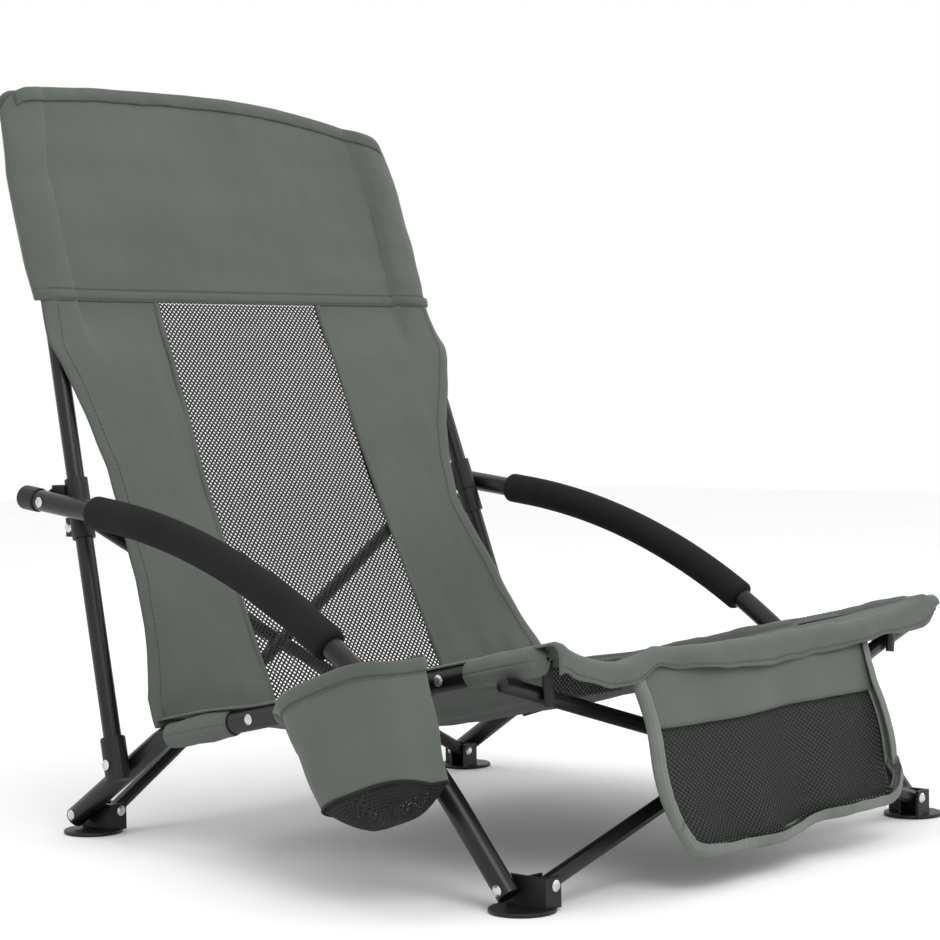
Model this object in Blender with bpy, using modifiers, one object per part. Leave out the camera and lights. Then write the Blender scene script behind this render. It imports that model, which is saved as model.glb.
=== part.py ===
"""Low folding beach chair: tube frame with four crossed braces and a fabric sling.

Metres, +Z up. The sitter faces -Y, so the sitter's right hand is at -X. The frame is
mirror-symmetric about the plane x = 0 of the "chair" empty, which every piece hangs on;
the empty stands where the whole chair's bounding box has its bottom centre at the origin.
Each moving piece has its origin on the pivot it turns about.
"""

import math

import bmesh
import bpy
from mathutils import Matrix, Vector

# ---------------------------------------------------------------- driving dimensions
ARM_TUBE_R = 0.0095
RAIL_TUBE_R = 0.0095
POST_TUBE_R = 0.0080
CROSS_TUBE_R = 0.0065
TUBE_WALL = 0.0010
TUBE_FACETS = 4  # bevel resolution of every swept tube
FOAM_R = 0.0148
RIVET_R = 0.0024
RIVET_HEAD_R = 0.0048
RIVET_HEAD_H = 0.0016
FABRIC_T = 0.0030

FIT_GAP = 0.0003  # between pieces that touch
RUN_GAP = 0.0005  # between pieces that turn or slide past each other

# where the whole frame stands, so that the bounding box is centred on the origin
FRAME_SHIFT = (0.03295, -0.02712)

# side view (y, z) of the right and left side frames
FRONT_FOOT_Y = -0.267
REAR_FOOT_Y = 0.267
FOOT_PIVOT_BACK = 0.012  # side tube's pivot behind the foot's centre
FOOT_PIVOT_Z = 0.0165
CROSS_PIVOT_AHEAD = 0.0094  # cross tube's pivot ahead of the foot's centre
CROSS_PIVOT_IN = 0.0162  # and inwards of it
CROSS_PIVOT_Z = 0.0195
TUBE_END = 0.006  # tube left beyond a pivot at its foot
CROSS_TUBE_END = 0.0045  # and beyond a cross tube's pivots
REAR_TUBE_END = 0.0036  # short at the rear cross tubes' tops, to pass the arm's cap

RAIL_LEG_ANGLE = math.radians(33.5)
RAIL_LEG = 0.144
RAIL_SEAT_ANGLE = math.radians(12.2)
RAIL_SEAT = 0.441
RAIL_BEND_R = 0.045
SOCKET_AT = 0.095  # along the leg from the foot's pivot

POST_LEAN_BACK = 0.300  # dy per dz
POST_LEAN_IN = 0.087  # dx per dz
POST_TOP_Z = 0.662
COLLAR_Z = 0.300

ARM_REAR_Y = 0.316
ARM_REAR_ANGLE = math.radians(7.0)
ARM_FRONT_ANGLE = math.radians(50.0)
ARM_BEND_R = 0.650
ARM_PIVOT_BEHIND_POST = 0.019
FOAM_FROM_Y = 0.222
FOAM_TO_Y = -0.072

# plan view, measured from the middle plane
RAIL_X = 0.2555
SOCKET_R = 0.0112
COLLAR_R = 0.0105
FOOT_OUT = 0.006  # side tube's plane outside the foot's centre

# feet
FOOT_DISC_R = 0.0265
FOOT_DISC_H = 0.0035
FOOT_WALL_TOP = 0.0262

# upper ends of the cross tubes
HANGER_IN = 0.0195  # front cross tube's top pivot inside the rail
HANGER_PIVOT = (RAIL_X - HANGER_IN, -0.2575, 0.160)
REAR_TOP_BEHIND = 0.0365  # rear cross tube's top pivot behind the post's axis

# fabric
SEAM_Z = 0.480
BACK_FOOT = (0.172, 0.131)  # (y, z) of the back's plane where it reaches the seat
BACK_BOTTOM_Z = 0.116
BACK_TOP_Z = 0.682
HEADREST_HALF = (0.253, 0.243)  # half width at the seam and at the top
HEADREST_CORNER = 0.040
BACK_CLEAR = 0.0150  # from the post's axis to the headrest's middle
WAIST = ((0.480, 0.253), (0.440, 0.258), (0.380, 0.244), (0.310, 0.232), (0.250, 0.226), (0.190, 0.231))
WAIST_FOOT = (0.116, 0.250)
MESH_HALF_TOP = 0.105
MESH_HALF_BOTTOM = 0.113
PANEL_GAP = 0.0006  # between neighbouring panels at their seams
SEAT_FRONT_Y = -0.281
SEAT_REAR_Y = 0.148
SEAT_HALF = RAIL_X - 0.0335
SEAT_SAG = (0.010, 0.030)  # at the ends, and more than that in the middle
CUP_OUT = 0.0740  # pouch's middle outside the rail
CUP_TOP = (-RAIL_X - CUP_OUT, -0.1475, 0.170)
CUP_TILT = math.radians(15.0)
CUP_DEPTH = 0.105
CUP_HALF = (0.0345, 0.0780)
CUP_TAPER = (0.95, 0.80)
CUP_WALL = 0.0025
POCKET_TOP = (-0.2960, 0.184)
POCKET_BOTTOM = (-0.3280, 0.034)
POCKET_HALF = (0.168, 0.146)
POCKET_T = 0.006

SIDES = {"right": -1, "left": 1}

# ---------------------------------------------------------------- derived places


def along(angle, length):
    """(y, z) step forwards and up at this angle."""
    return Vector((-math.cos(angle) * length, math.sin(angle) * length))


ARM_FOOT = Vector((FRONT_FOOT_Y + FOOT_PIVOT_BACK, FOOT_PIVOT_Z))
RAIL_FOOT = Vector((REAR_FOOT_Y + FOOT_PIVOT_BACK, FOOT_PIVOT_Z))
RAIL_CORNER = RAIL_FOOT + along(RAIL_LEG_ANGLE, RAIL_LEG)
RAIL_FRONT = RAIL_CORNER + along(RAIL_SEAT_ANGLE, RAIL_SEAT)
SOCKET = RAIL_FOOT + along(RAIL_LEG_ANGLE, SOCKET_AT)

SOCKET_X = RAIL_X + RAIL_TUBE_R + SOCKET_R + RUN_GAP


def post_axis(side):
    return Vector((-side * POST_LEAN_IN, POST_LEAN_BACK, 1.0)).normalized()


def socket_axis(side):
    """The socket's pivot, square to the leaning post, so that the rail folds up alongside it."""
    along_post = post_axis(side)
    sideways = Vector((1.0, 0.0, 0.0))
    return (sideways - along_post * sideways.dot(along_post)).normalized()


def post_point(side, z):
    """The point of the post's axis at this height."""
    rise = z - SOCKET.y
    return Vector((side * (SOCKET_X - POST_LEAN_IN * rise), SOCKET.x + POST_LEAN_BACK * rise, z))


COLLAR_X = post_point(1, COLLAR_Z).x
ARM_X = COLLAR_X + COLLAR_R + ARM_TUBE_R + 2 * RUN_GAP
FRONT_FOOT_X = ARM_X - FOOT_OUT
REAR_FOOT_X = RAIL_X - FOOT_OUT


def arm_lengths():
    """The arm's two straight lengths and its rear height, so that its bend joins them at the foot."""
    first, last = ARM_REAR_ANGLE, ARM_FRONT_ANGLE
    pivot_y = post_point(1, COLLAR_Z).y + ARM_PIVOT_BEHIND_POST
    rear_z = COLLAR_Z + (ARM_REAR_Y - pivot_y) * math.tan(first)
    run = ARM_REAR_Y - ARM_FOOT.x - ARM_BEND_R * (math.sin(last) - math.sin(first))
    drop = rear_z - ARM_FOOT.y + ARM_BEND_R * (math.cos(last) - math.cos(first))
    turn = math.sin(last - first)
    rear = (run * math.sin(last) - drop * math.cos(last)) / turn
    front = (drop * math.cos(first) - run * math.sin(first)) / turn
    return rear, front, rear_z


ARM_REAR, ARM_FRONT, ARM_REAR_Z = arm_lengths()
ARM_ARC = ARM_BEND_R * (ARM_FRONT_ANGLE - ARM_REAR_ANGLE)


def arm_point(s, side):
    """The arm's axis at the distance s from its rear end."""
    first = ARM_REAR_ANGLE
    y, z, heading = ARM_REAR_Y, ARM_REAR_Z, first
    rear = min(s, ARM_REAR)
    y -= rear * math.cos(first)
    z -= rear * math.sin(first)
    arc = min(max(s - ARM_REAR, 0.0), ARM_ARC)
    heading = first + arc / ARM_BEND_R
    y -= ARM_BEND_R * (math.sin(heading) - math.sin(first))
    z += ARM_BEND_R * (math.cos(heading) - math.cos(first))
    front = max(s - ARM_REAR - ARM_ARC, 0.0)
    y -= front * math.cos(heading)
    z -= front * math.sin(heading)
    return Vector((side * ARM_X, y, z))


def stretch(points, from_y, to_y):
    """The part of a path between two y values, where y falls along the path."""
    cut = []
    for start, end in zip(points, points[1:]):
        for y in (from_y, to_y):
            if end.y < y <= start.y:
                cut.append(start.lerp(end, (start.y - y) / (start.y - end.y)))
        if to_y < end.y < from_y:
            cut.append(end)
    return cut


def stations(start, end, count):
    return [start + (end - start) * i / count for i in range(count + 1)]


# ---------------------------------------------------------------- scene and materials
for old in list(bpy.data.objects):
    bpy.data.objects.remove(old, do_unlink=True)

PARTS = bpy.data.collections.new("folding_beach_chair")
CUTTERS = bpy.data.collections.new("cutters")
bpy.context.scene.collection.children.link(PARTS)
bpy.context.scene.collection.children.link(CUTTERS)

CHAIR = bpy.data.objects.new("chair", None)
CHAIR.location = (*FRAME_SHIFT, 0.0)
PARTS.objects.link(CHAIR)


def material(name, colour, roughness, metallic=0.0):
    made = bpy.data.materials.new(name)
    made.use_nodes = True
    shader = made.node_tree.nodes["Principled BSDF"]
    shader.inputs["Base Color"].default_value = (*colour, 1.0)
    shader.inputs["Roughness"].default_value = roughness
    shader.inputs["Metallic"].default_value = metallic
    made.diffuse_color = (*colour, 1.0)
    return made


BLACK_PAINT = material("black_paint", (0.010, 0.010, 0.011), 0.28)
BLACK_PLASTIC = material("black_plastic", (0.014, 0.014, 0.015), 0.50)
FOAM = material("foam", (0.022, 0.022, 0.023), 0.95)
STEEL = material("rivet_steel", (0.62, 0.62, 0.63), 0.30, 1.0)
FABRIC = material("grey_fabric", (0.135, 0.155, 0.135), 0.85)
MESH = material("black_mesh", (0.012, 0.012, 0.013), 0.80)

# ---------------------------------------------------------------- modelling helpers


def add_object(name, mesh, look, pivot=(0.0, 0.0, 0.0), collection=PARTS):
    """An object whose mesh is given in the chair's frame and whose origin goes to the pivot."""
    mesh.transform(Matrix.Translation(-Vector(pivot)))
    made = bpy.data.objects.new(name, mesh)
    made.location = pivot
    made.parent = CHAIR
    if look:
        mesh.materials.append(look)
    mesh.shade_smooth()
    mesh.set_sharp_from_angle(angle=math.radians(40))
    collection.objects.link(made)
    return made


def mesh_of(build):
    """A mesh filled by a function that takes a bmesh."""
    work = bmesh.new()
    build(work)
    bmesh.ops.recalc_face_normals(work, faces=work.faces)
    mesh = bpy.data.meshes.new("mesh")
    work.to_mesh(mesh)
    work.free()
    return mesh


def turned_to(axis):
    return Vector(axis).to_track_quat("Z", "Y").to_matrix().to_4x4()


def add_cylinder(work, centre, axis, radius, length, sides=20):
    place = Matrix.Translation(Vector(centre)) @ turned_to(axis)
    bmesh.ops.create_cone(work, cap_ends=True, segments=sides, radius1=radius, radius2=radius,
                          depth=length, matrix=place)


def add_box(work, low, high):
    low, high = Vector(low), Vector(high)
    size = Matrix.Diagonal((*(high - low), 1.0))
    bmesh.ops.create_cube(work, size=1.0, matrix=Matrix.Translation((low + high) / 2) @ size)


def cutter(name, build):
    made = add_object(name, mesh_of(build), None, collection=CUTTERS)
    made.hide_render = True
    made.display_type = "WIRE"
    return made


def boolean(target, operation, build):
    """Cuts or joins what the build function makes, in the chair's frame."""
    tool = cutter(f"{target.name}_{operation.lower()}", build)
    step = target.modifiers.new(operation.title(), "BOOLEAN")
    step.operation = operation
    step.object = tool
    return target


def drill(target, holes, sides=12):
    """Each hole is (centre, axis, radius, length)."""

    def build(work):
        for centre, axis, radius, length in holes:
            add_cylinder(work, centre, axis, radius, length, sides)

    return boolean(target, "DIFFERENCE", build)


def rivet_hole(centre, axis, length):
    return (centre, axis, RIVET_R + FIT_GAP, length)


def swept_mesh(points, radius):
    """The skin of a round bar along these points."""
    curve = bpy.data.curves.new("path", "CURVE")
    curve.dimensions = "3D"
    curve.bevel_depth = radius
    curve.bevel_resolution = TUBE_FACETS
    spline = curve.splines.new("POLY")
    spline.points.add(len(points) - 1)
    for spot, point in zip(spline.points, points):
        spot.co = (*point, 1.0)
    path = bpy.data.objects.new("path", curve)
    bpy.context.scene.collection.objects.link(path)
    graph = bpy.context.evaluated_depsgraph_get()
    mesh = bpy.data.meshes.new_from_object(path.evaluated_get(graph))
    bpy.data.objects.remove(path)
    bpy.data.curves.remove(curve)
    work = bmesh.new()
    work.from_mesh(mesh)
    bmesh.ops.remove_doubles(work, verts=work.verts, dist=1e-6)
    bmesh.ops.recalc_face_normals(work, faces=work.faces)
    work.to_mesh(mesh)
    work.free()
    return mesh


def tube(name, points, radius, look, pivot, wall=TUBE_WALL):
    """A hollow tube with open ends."""
    made = add_object(name, swept_mesh(points, radius), look, pivot)
    shell = made.modifiers.new("Wall", "SOLIDIFY")
    shell.thickness = wall
    shell.offset = -1.0
    shell.use_even_offset = True
    return made


def rivet(name, centre, axis, grip, look=STEEL, tail=True):
    """A domed rivet whose shank spans the grip length; without a tail, its far end is flush."""
    half = grip / 2 + FIT_GAP
    dome = [(0.0, half + RIVET_HEAD_H), (0.6 * RIVET_HEAD_R, half + 0.85 * RIVET_HEAD_H)]
    profile = [*dome, (RIVET_HEAD_R, half), (RIVET_R, half)]
    if tail:
        profile += [(r, -z) for r, z in reversed(profile)]
    else:
        profile += [(RIVET_R, -half), (0.0, -half)]
    mesh = bpy.data.meshes.new(name)
    edges = [(i, i + 1) for i in range(len(profile) - 1)]
    mesh.from_pydata([(r, 0.0, z) for r, z in profile], edges, [])
    made = add_object(name, mesh, look)
    made.location = centre
    made.rotation_mode = "QUATERNION"
    made.rotation_quaternion = Vector(axis).to_track_quat("Z", "Y")
    turn = made.modifiers.new("Turn", "SCREW")
    turn.steps = turn.render_steps = 10
    turn.use_merge_vertices = True
    turn.merge_threshold = 0.00001
    turn.use_smooth_shade = True
    return made


def slab(name, outline, place, thickness, look, pivot):
    """A flat panel: an outline in its own plane, extruded to a thickness both ways from the plane."""

    def build(work):
        bottom = [work.verts.new(place @ Vector((x, y, -thickness / 2))) for x, y in outline]
        face = work.faces.new(bottom)
        made = bmesh.ops.extrude_face_region(work, geom=[face])
        top = [item for item in made["geom"] if isinstance(item, bmesh.types.BMVert)]
        offset = place.to_3x3() @ Vector((0.0, 0.0, thickness))
        bmesh.ops.translate(work, verts=top, vec=offset)

    return add_object(name, mesh_of(build), look, pivot)


# ---------------------------------------------------------------- side frames


def arm(side, label):
    total = ARM_REAR + ARM_ARC + ARM_FRONT + TUBE_END
    cuts = [0.0, *stations(ARM_REAR, ARM_REAR + ARM_ARC, 12), total]
    foot_pivot = Vector((side * ARM_X, ARM_FOOT.x, ARM_FOOT.y))
    path = [arm_point(s, side) for s in cuts]
    made = tube(f"arm_tube_{label}", path, ARM_TUBE_R, BLACK_PAINT, foot_pivot)
    across = 4 * ARM_TUBE_R
    drill(made, [rivet_hole(foot_pivot, (1, 0, 0), across), rivet_hole(arm_pivot(side), (1, 0, 0), across)])
    foam_wall = FOAM_R - ARM_TUBE_R - FIT_GAP
    foam_path = stretch(path, FOAM_FROM_Y, FOAM_TO_Y)
    tube(f"arm_foam_grip_{label}", foam_path, FOAM_R, FOAM, foot_pivot, foam_wall)
    end_cap(side, label)


def end_cap(side, label):
    """A plastic cap over the arm's rear end, closed behind it."""
    cap_r = ARM_TUBE_R + FIT_GAP + 0.0012
    heading = Vector((0.0, math.cos(ARM_REAR_ANGLE), math.sin(ARM_REAR_ANGLE)))
    rear = arm_point(0.0, side)
    inside = 0.018
    end = 0.0030

    def outer(work):
        add_cylinder(work, rear + heading * (end - inside) / 2, heading, cap_r, inside + end)

    made = add_object(f"arm_end_cap_{label}", mesh_of(outer), BLACK_PLASTIC, rear)
    soften = made.modifiers.new("Soften", "BEVEL")
    soften.width = 0.0012
    soften.segments = 2
    soften.limit_method = "ANGLE"
    bore = rear + heading * (FIT_GAP - inside)
    drill(made, [(bore, heading, ARM_TUBE_R + FIT_GAP, 2 * inside)], 20)


def arm_pivot(side):
    post = post_point(side, COLLAR_Z)
    return Vector((side * ARM_X, post.y + ARM_PIVOT_BEHIND_POST, COLLAR_Z))


def side_point(side, x, yz):
    return Vector((side * x, yz.x, yz.y))


def rail_height(y):
    """The seat rail's axis above the floor."""
    return RAIL_CORNER.y + (RAIL_CORNER.x - y) * math.tan(RAIL_SEAT_ANGLE)


def rail_rivet_place(distance):
    """On the seat rail's straight, this far ahead of its corner."""
    return RAIL_CORNER + along(RAIL_SEAT_ANGLE, distance)


REAR_RAIL_RIVET = rail_rivet_place(0.120)
HANGER_RIVET = rail_rivet_place(0.344)


def rail(side, label):
    """One tube: the rear leg, a bend, and the seat rail up to its front end."""
    turn = RAIL_LEG_ANGLE - RAIL_SEAT_ANGLE
    tangent = RAIL_BEND_R * math.tan(turn / 2)
    path = [RAIL_FOOT - along(RAIL_LEG_ANGLE, TUBE_END)]
    start = RAIL_CORNER - along(RAIL_LEG_ANGLE, tangent)
    steps = 4
    for i in range(steps + 1):
        angle = RAIL_LEG_ANGLE - turn * i / steps
        sweep = RAIL_BEND_R * Vector((
            -(math.sin(RAIL_LEG_ANGLE) - math.sin(angle)), -(math.cos(RAIL_LEG_ANGLE) - math.cos(angle))))
        path.append(start + sweep)
    path.append(RAIL_FRONT)
    pivot = side_point(side, RAIL_X, SOCKET)
    points = [side_point(side, RAIL_X, p) for p in path]
    made = tube(f"seat_rail_{label}", points, RAIL_TUBE_R, BLACK_PAINT, pivot)
    across = 4 * RAIL_TUBE_R
    holes = [side_point(side, RAIL_X, p) for p in (RAIL_FOOT, REAR_RAIL_RIVET, HANGER_RIVET)]
    holes = [rivet_hole(p, (1, 0, 0), across) for p in holes]
    drill(made, [*holes, rivet_hole(pivot, socket_axis(side), across)])
    rivet(f"rail_rivet_{label}", side_point(side, RAIL_X, REAR_RAIL_RIVET), (side, 0, 0), 2 * RAIL_TUBE_R)


def hanger(side, label):
    """The plastic bracket that swings on the rail's inside, with the front cross tube's top behind it."""
    inner = RAIL_X - RAIL_TUBE_R - RUN_GAP
    thick, deep, bar = 0.0190, 0.0130, 0.0060
    back = HANGER_PIVOT[1] - CROSS_TUBE_R - 2 * RUN_GAP
    axis = along(RAIL_SEAT_ANGLE, 1.0)
    start = HANGER_RIVET - axis * 0.012
    end_y = back - 0.004
    bar_length = (start.x - end_y) / math.cos(RAIL_SEAT_ANGLE)
    middle = start + axis * bar_length / 2

    def block(work):
        low_x, high_x = sorted((side * (inner - thick), side * inner))
        top = rail_height(back) + 0.007
        add_box(work, (low_x, back - deep, HANGER_PIVOT[2] - 0.010), (high_x, back, top))

    def strap(work):
        place = Matrix.Translation((side * (inner - bar / 2), middle.x, middle.y))
        tilt = Matrix.Rotation(-RAIL_SEAT_ANGLE, 4, "X")
        size = Matrix.Diagonal((bar, bar_length, 0.014, 1.0))
        bmesh.ops.create_cube(work, size=1.0, matrix=place @ tilt @ size)

    pivot = side_point(side, RAIL_X, HANGER_RIVET)
    made = add_object(f"cross_hanger_{label}", mesh_of(block), BLACK_PLASTIC, pivot)
    boolean(made, "UNION", strap)
    hole = side_point(side, inner - bar / 2, HANGER_RIVET)
    drill(made, [rivet_hole(hole, (1, 0, 0), 4 * bar)])
    grip = 2 * RAIL_TUBE_R + FIT_GAP + bar
    centre = side_point(side, RAIL_X + RAIL_TUBE_R - grip / 2, HANGER_RIVET)
    rivet(f"hanger_rivet_{label}", centre, (side, 0, 0), grip)


def post(side, label):
    axis = post_axis(side)
    bottom = post_point(side, SOCKET.y) + axis * 0.013
    top = post_point(side, POST_TOP_Z)
    pivot = post_point(side, SOCKET.y)
    tube(f"back_post_{label}", [bottom, top], POST_TUBE_R, BLACK_PAINT, pivot)
    socket(side, label, pivot, axis)
    stop_collar(side, label, axis)
    slide_collar(side, label, axis)


def socket(side, label, pivot, axis):
    """Holds the post's lower end and turns on the rear leg."""
    below, above = 0.0125, 0.0265

    def outer(work):
        add_cylinder(work, pivot + axis * (above - below) / 2, axis, SOCKET_R, above + below)

    made = add_object(f"post_socket_{label}", mesh_of(outer), BLACK_PLASTIC, pivot)
    soften = made.modifiers.new("Soften", "BEVEL")
    soften.width = 0.0015
    soften.segments = 2
    soften.limit_method = "ANGLE"
    bore = pivot + axis * (0.013 - FIT_GAP + 0.020)
    turn = socket_axis(side)
    on_rail = side_point(side, RAIL_X, SOCKET)
    drill(made, [(bore, axis, POST_TUBE_R + FIT_GAP, 0.040), rivet_hole(on_rail, turn, 8 * SOCKET_R)], 20)
    outside = SOCKET_X + SOCKET_R
    inside = RAIL_X - RAIL_TUBE_R
    grip = (outside - inside + 2 * RUN_GAP) / turn.x
    middle = on_rail + turn * (side * ((outside + inside) / 2 - RAIL_X) / turn.x)
    rivet(f"socket_rivet_{label}", middle, turn * side, grip)


def stop_collar(side, label, axis):
    """Clamped on the post under the sliding collar, with a screwed lug behind."""
    centre = post_point(side, COLLAR_Z) - axis * 0.0225
    length, lug = 0.0240, 0.0100

    def sleeve(work):
        add_cylinder(work, centre, axis, COLLAR_R, length)

    def ear(work):
        middle = centre + Vector((0.0, COLLAR_R + lug / 2 - 0.002, -0.002))
        add_box(work, middle - Vector((0.0040, lug / 2, 0.0085)), middle + Vector((0.0040, lug / 2, 0.0085)))

    made = add_object(f"stop_collar_{label}", mesh_of(sleeve), BLACK_PLASTIC, centre)
    boolean(made, "UNION", ear)
    screw = centre + Vector((0.0, COLLAR_R + 0.0045, -0.002))
    drill(made, [(centre, axis, POST_TUBE_R + FIT_GAP, 3 * length), rivet_hole(screw, (1, 0, 0), 0.03)], 20)
    rivet(f"collar_screw_{label}", screw, (1, 0, 0), 0.0080)


def slide_collar(side, label, axis):
    """Slides on the post; a block behind it carries the arm's rivet and the rear cross tube's top."""
    level = post_point(side, COLLAR_Z)
    length = 0.0300
    centre = level + axis * (length / 2 - 0.0095)
    block_out = ARM_X - ARM_TUBE_R - RUN_GAP
    block_in = COLLAR_X - 0.0085

    def sleeve(work):
        add_cylinder(work, centre, axis, COLLAR_R, length)

    def block(work):
        low_x, high_x = sorted((side * block_in, side * block_out))
        low = Vector((low_x, level.y + 0.0070, COLLAR_Z - 0.0105))
        high = Vector((high_x, level.y + REAR_TOP_BEHIND - CROSS_TUBE_R - 11 * RUN_GAP, COLLAR_Z + 0.0145))
        add_box(work, low, high)

    pivot = arm_pivot(side)
    made = add_object(f"slide_collar_{label}", mesh_of(sleeve), BLACK_PLASTIC, pivot)
    boolean(made, "UNION", block)
    drill(made, [(centre, axis, POST_TUBE_R + FIT_GAP, 2.5 * length), rivet_hole(pivot, (1, 0, 0), 0.09)], 20)
    outside = ARM_X + ARM_TUBE_R
    grip = outside - block_in
    middle = pivot + Vector((side * (outside - grip / 2 - ARM_X), 0, 0))
    rivet(f"arm_pivot_rivet_{label}", middle, (side, 0, 0), grip)


# ---------------------------------------------------------------- feet


def foot(side, label, end, centre_x, centre_y, tube_x, tube_r):
    """A round base, a wall that the side tube is riveted to, and a fork for the cross tube."""
    centre = Vector((side * centre_x, centre_y, 0.0))
    spine_out = tube_x - tube_r - RUN_GAP - centre_x
    spine_in = spine_out - 0.0042
    fork_in = -CROSS_PIVOT_IN - 0.0060
    ahead = -CROSS_PIVOT_AHEAD
    gap = CROSS_TUBE_R + 3 * RUN_GAP
    wall = 0.0026
    front, rear = ahead - gap, ahead + gap
    outline = [
        (spine_out, front - wall), (spine_out, 0.0205), (spine_in, 0.0205), (spine_in, rear + wall),
        (fork_in, rear + wall), (fork_in, rear), (spine_in, rear), (spine_in, front),
        (fork_in, front), (fork_in, front - wall),
    ]

    def disc(work):
        add_cylinder(work, centre + Vector((0, 0, FOOT_DISC_H / 2)), (0, 0, 1), FOOT_DISC_R, FOOT_DISC_H, 28)

    def walls(work):
        low = FOOT_DISC_H - 0.001
        bottom = [work.verts.new(centre + Vector((side * x, y, low))) for x, y in outline]
        face = work.faces.new(bottom)
        made = bmesh.ops.extrude_face_region(work, geom=[face])
        top = [item for item in made["geom"] if isinstance(item, bmesh.types.BMVert)]
        bmesh.ops.translate(work, verts=top, vec=Vector((0, 0, FOOT_WALL_TOP - low)))

    made = add_object(f"foot_{end}_{label}", mesh_of(disc), BLACK_PLASTIC, centre)
    round_edge = made.modifiers.new("Round", "BEVEL")
    round_edge.width = 0.0012
    round_edge.segments = 2
    round_edge.limit_method = "ANGLE"
    boolean(made, "UNION", walls)
    side_pivot = Vector((side * tube_x, centre_y + FOOT_PIVOT_BACK, FOOT_PIVOT_Z))
    cross = cross_foot_pivot(side, centre_x, centre_y)
    spine_hole = side_pivot - Vector((side * (tube_r + RUN_GAP + 0.002), 0, 0))
    drill(made, [rivet_hole(spine_hole, (1, 0, 0), 0.012), rivet_hole(cross, (0, 1, 0), 0.030)])
    outside = tube_x + tube_r
    grip = outside - (centre_x + spine_in)
    middle = Vector((side * (outside - grip / 2), side_pivot.y, side_pivot.z))
    rivet(f"foot_side_rivet_{end}_{label}", middle, (side, 0, 0), grip)
    rivet(f"foot_cross_rivet_{end}_{label}", cross, (0, 1, 0), 2 * (gap + wall))


def cross_foot_pivot(side, centre_x, centre_y):
    return Vector((side * (centre_x - CROSS_PIVOT_IN), centre_y - CROSS_PIVOT_AHEAD, CROSS_PIVOT_Z))


# ---------------------------------------------------------------- cross tubes


def cross_tube(name, low, high, bow, look, end):
    """From its foot up to the other side, bowed so that the two tubes of a cross pass each other."""
    run = high - low
    plane = Vector((run.x, 0, 0)).cross(Vector((0, run.y, run.z))).normalized()
    if plane.y > 0:
        plane.negate()
    direction = run.normalized()
    crossing = abs(low.x) / abs(run.x)
    points = [low - direction * CROSS_TUBE_END]
    for t in stations(0.0, 1.0, 6):
        share = t / (2 * crossing) if t < crossing else 0.5 + (t - crossing) / (2 * (1 - crossing))
        points.append(low + run * t + plane * bow * math.sin(math.pi * share))
    points.append(high + direction * end)
    made = tube(name, points, CROSS_TUBE_R, look, low)
    middle = low + run * crossing + plane * bow
    across = 4 * CROSS_TUBE_R
    loose = (low, (0, 1, 0), RIVET_R + 2 * RUN_GAP, across)
    drill(made, [loose, rivet_hole(middle, plane, across), rivet_hole(high, (0, 1, 0), across)])
    return middle, plane


def cross_pair(end, lows, highs, look, over=CROSS_TUBE_END):
    """Two crossed tubes and the rivet where they cross."""
    bow = CROSS_TUBE_R + 0.0004
    first, plane = cross_tube(f"{end}_cross_tube_a", lows["right"], highs["left"], bow, look, over)
    second, _ = cross_tube(f"{end}_cross_tube_b", lows["left"], highs["right"], -bow, look, over)
    centre = (first + second) / 2
    grip = 2 * (CROSS_TUBE_R + bow)
    return centre, plane, grip, bow


def cross_tubes():
    lows = {label: cross_foot_pivot(side, FRONT_FOOT_X, FRONT_FOOT_Y) for label, side in SIDES.items()}
    highs = {label: Vector((side * HANGER_PIVOT[0], *HANGER_PIVOT[1:])) for label, side in SIDES.items()}
    centre, plane, grip, _ = cross_pair("front", lows, highs, BLACK_PAINT)
    rivet("front_cross_rivet", centre, plane, grip)
    for label, spot in highs.items():
        top_pin(f"hanger_pin_{label}", spot, Vector((0, 1, 0)))

    lows = {label: cross_foot_pivot(side, REAR_FOOT_X, REAR_FOOT_Y) for label, side in SIDES.items()}
    highs = {label: rear_top(side) for label, side in SIDES.items()}
    centre, plane, _, bow = cross_pair("rear", lows, highs, BLACK_PAINT, REAR_TUBE_END)
    top_pin("rear_cross_rivet", centre - plane * bow, -plane)
    for label, spot in highs.items():
        top_pin(f"collar_pin_{label}", spot, Vector((0, 1, 0)))


def top_pin(name, spot, head_side):
    """A pin through one cross tube only: its head clears the tube and its far end stays inside it."""
    head_gap, tail_gap = 0.0007, 0.0005
    grip = 2 * CROSS_TUBE_R + head_gap - tail_gap - 2 * FIT_GAP
    rivet(name, spot + head_side * (head_gap + tail_gap) / 2, head_side, grip, tail=False)


def rear_top(side):
    post = post_point(side, COLLAR_Z)
    return Vector((side * COLLAR_X, post.y + REAR_TOP_BEHIND, COLLAR_Z + 0.004))


# ---------------------------------------------------------------- fabric


def back_edge(z):
    """Half width of the back below the seam at this height."""
    points = [*WAIST, WAIST_FOOT]
    for (high_z, high), (low_z, low) in zip(points, points[1:]):
        if z >= low_z:
            return low + (high - low) * (z - low_z) / (high_z - low_z)
    return points[-1][1]


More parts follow.
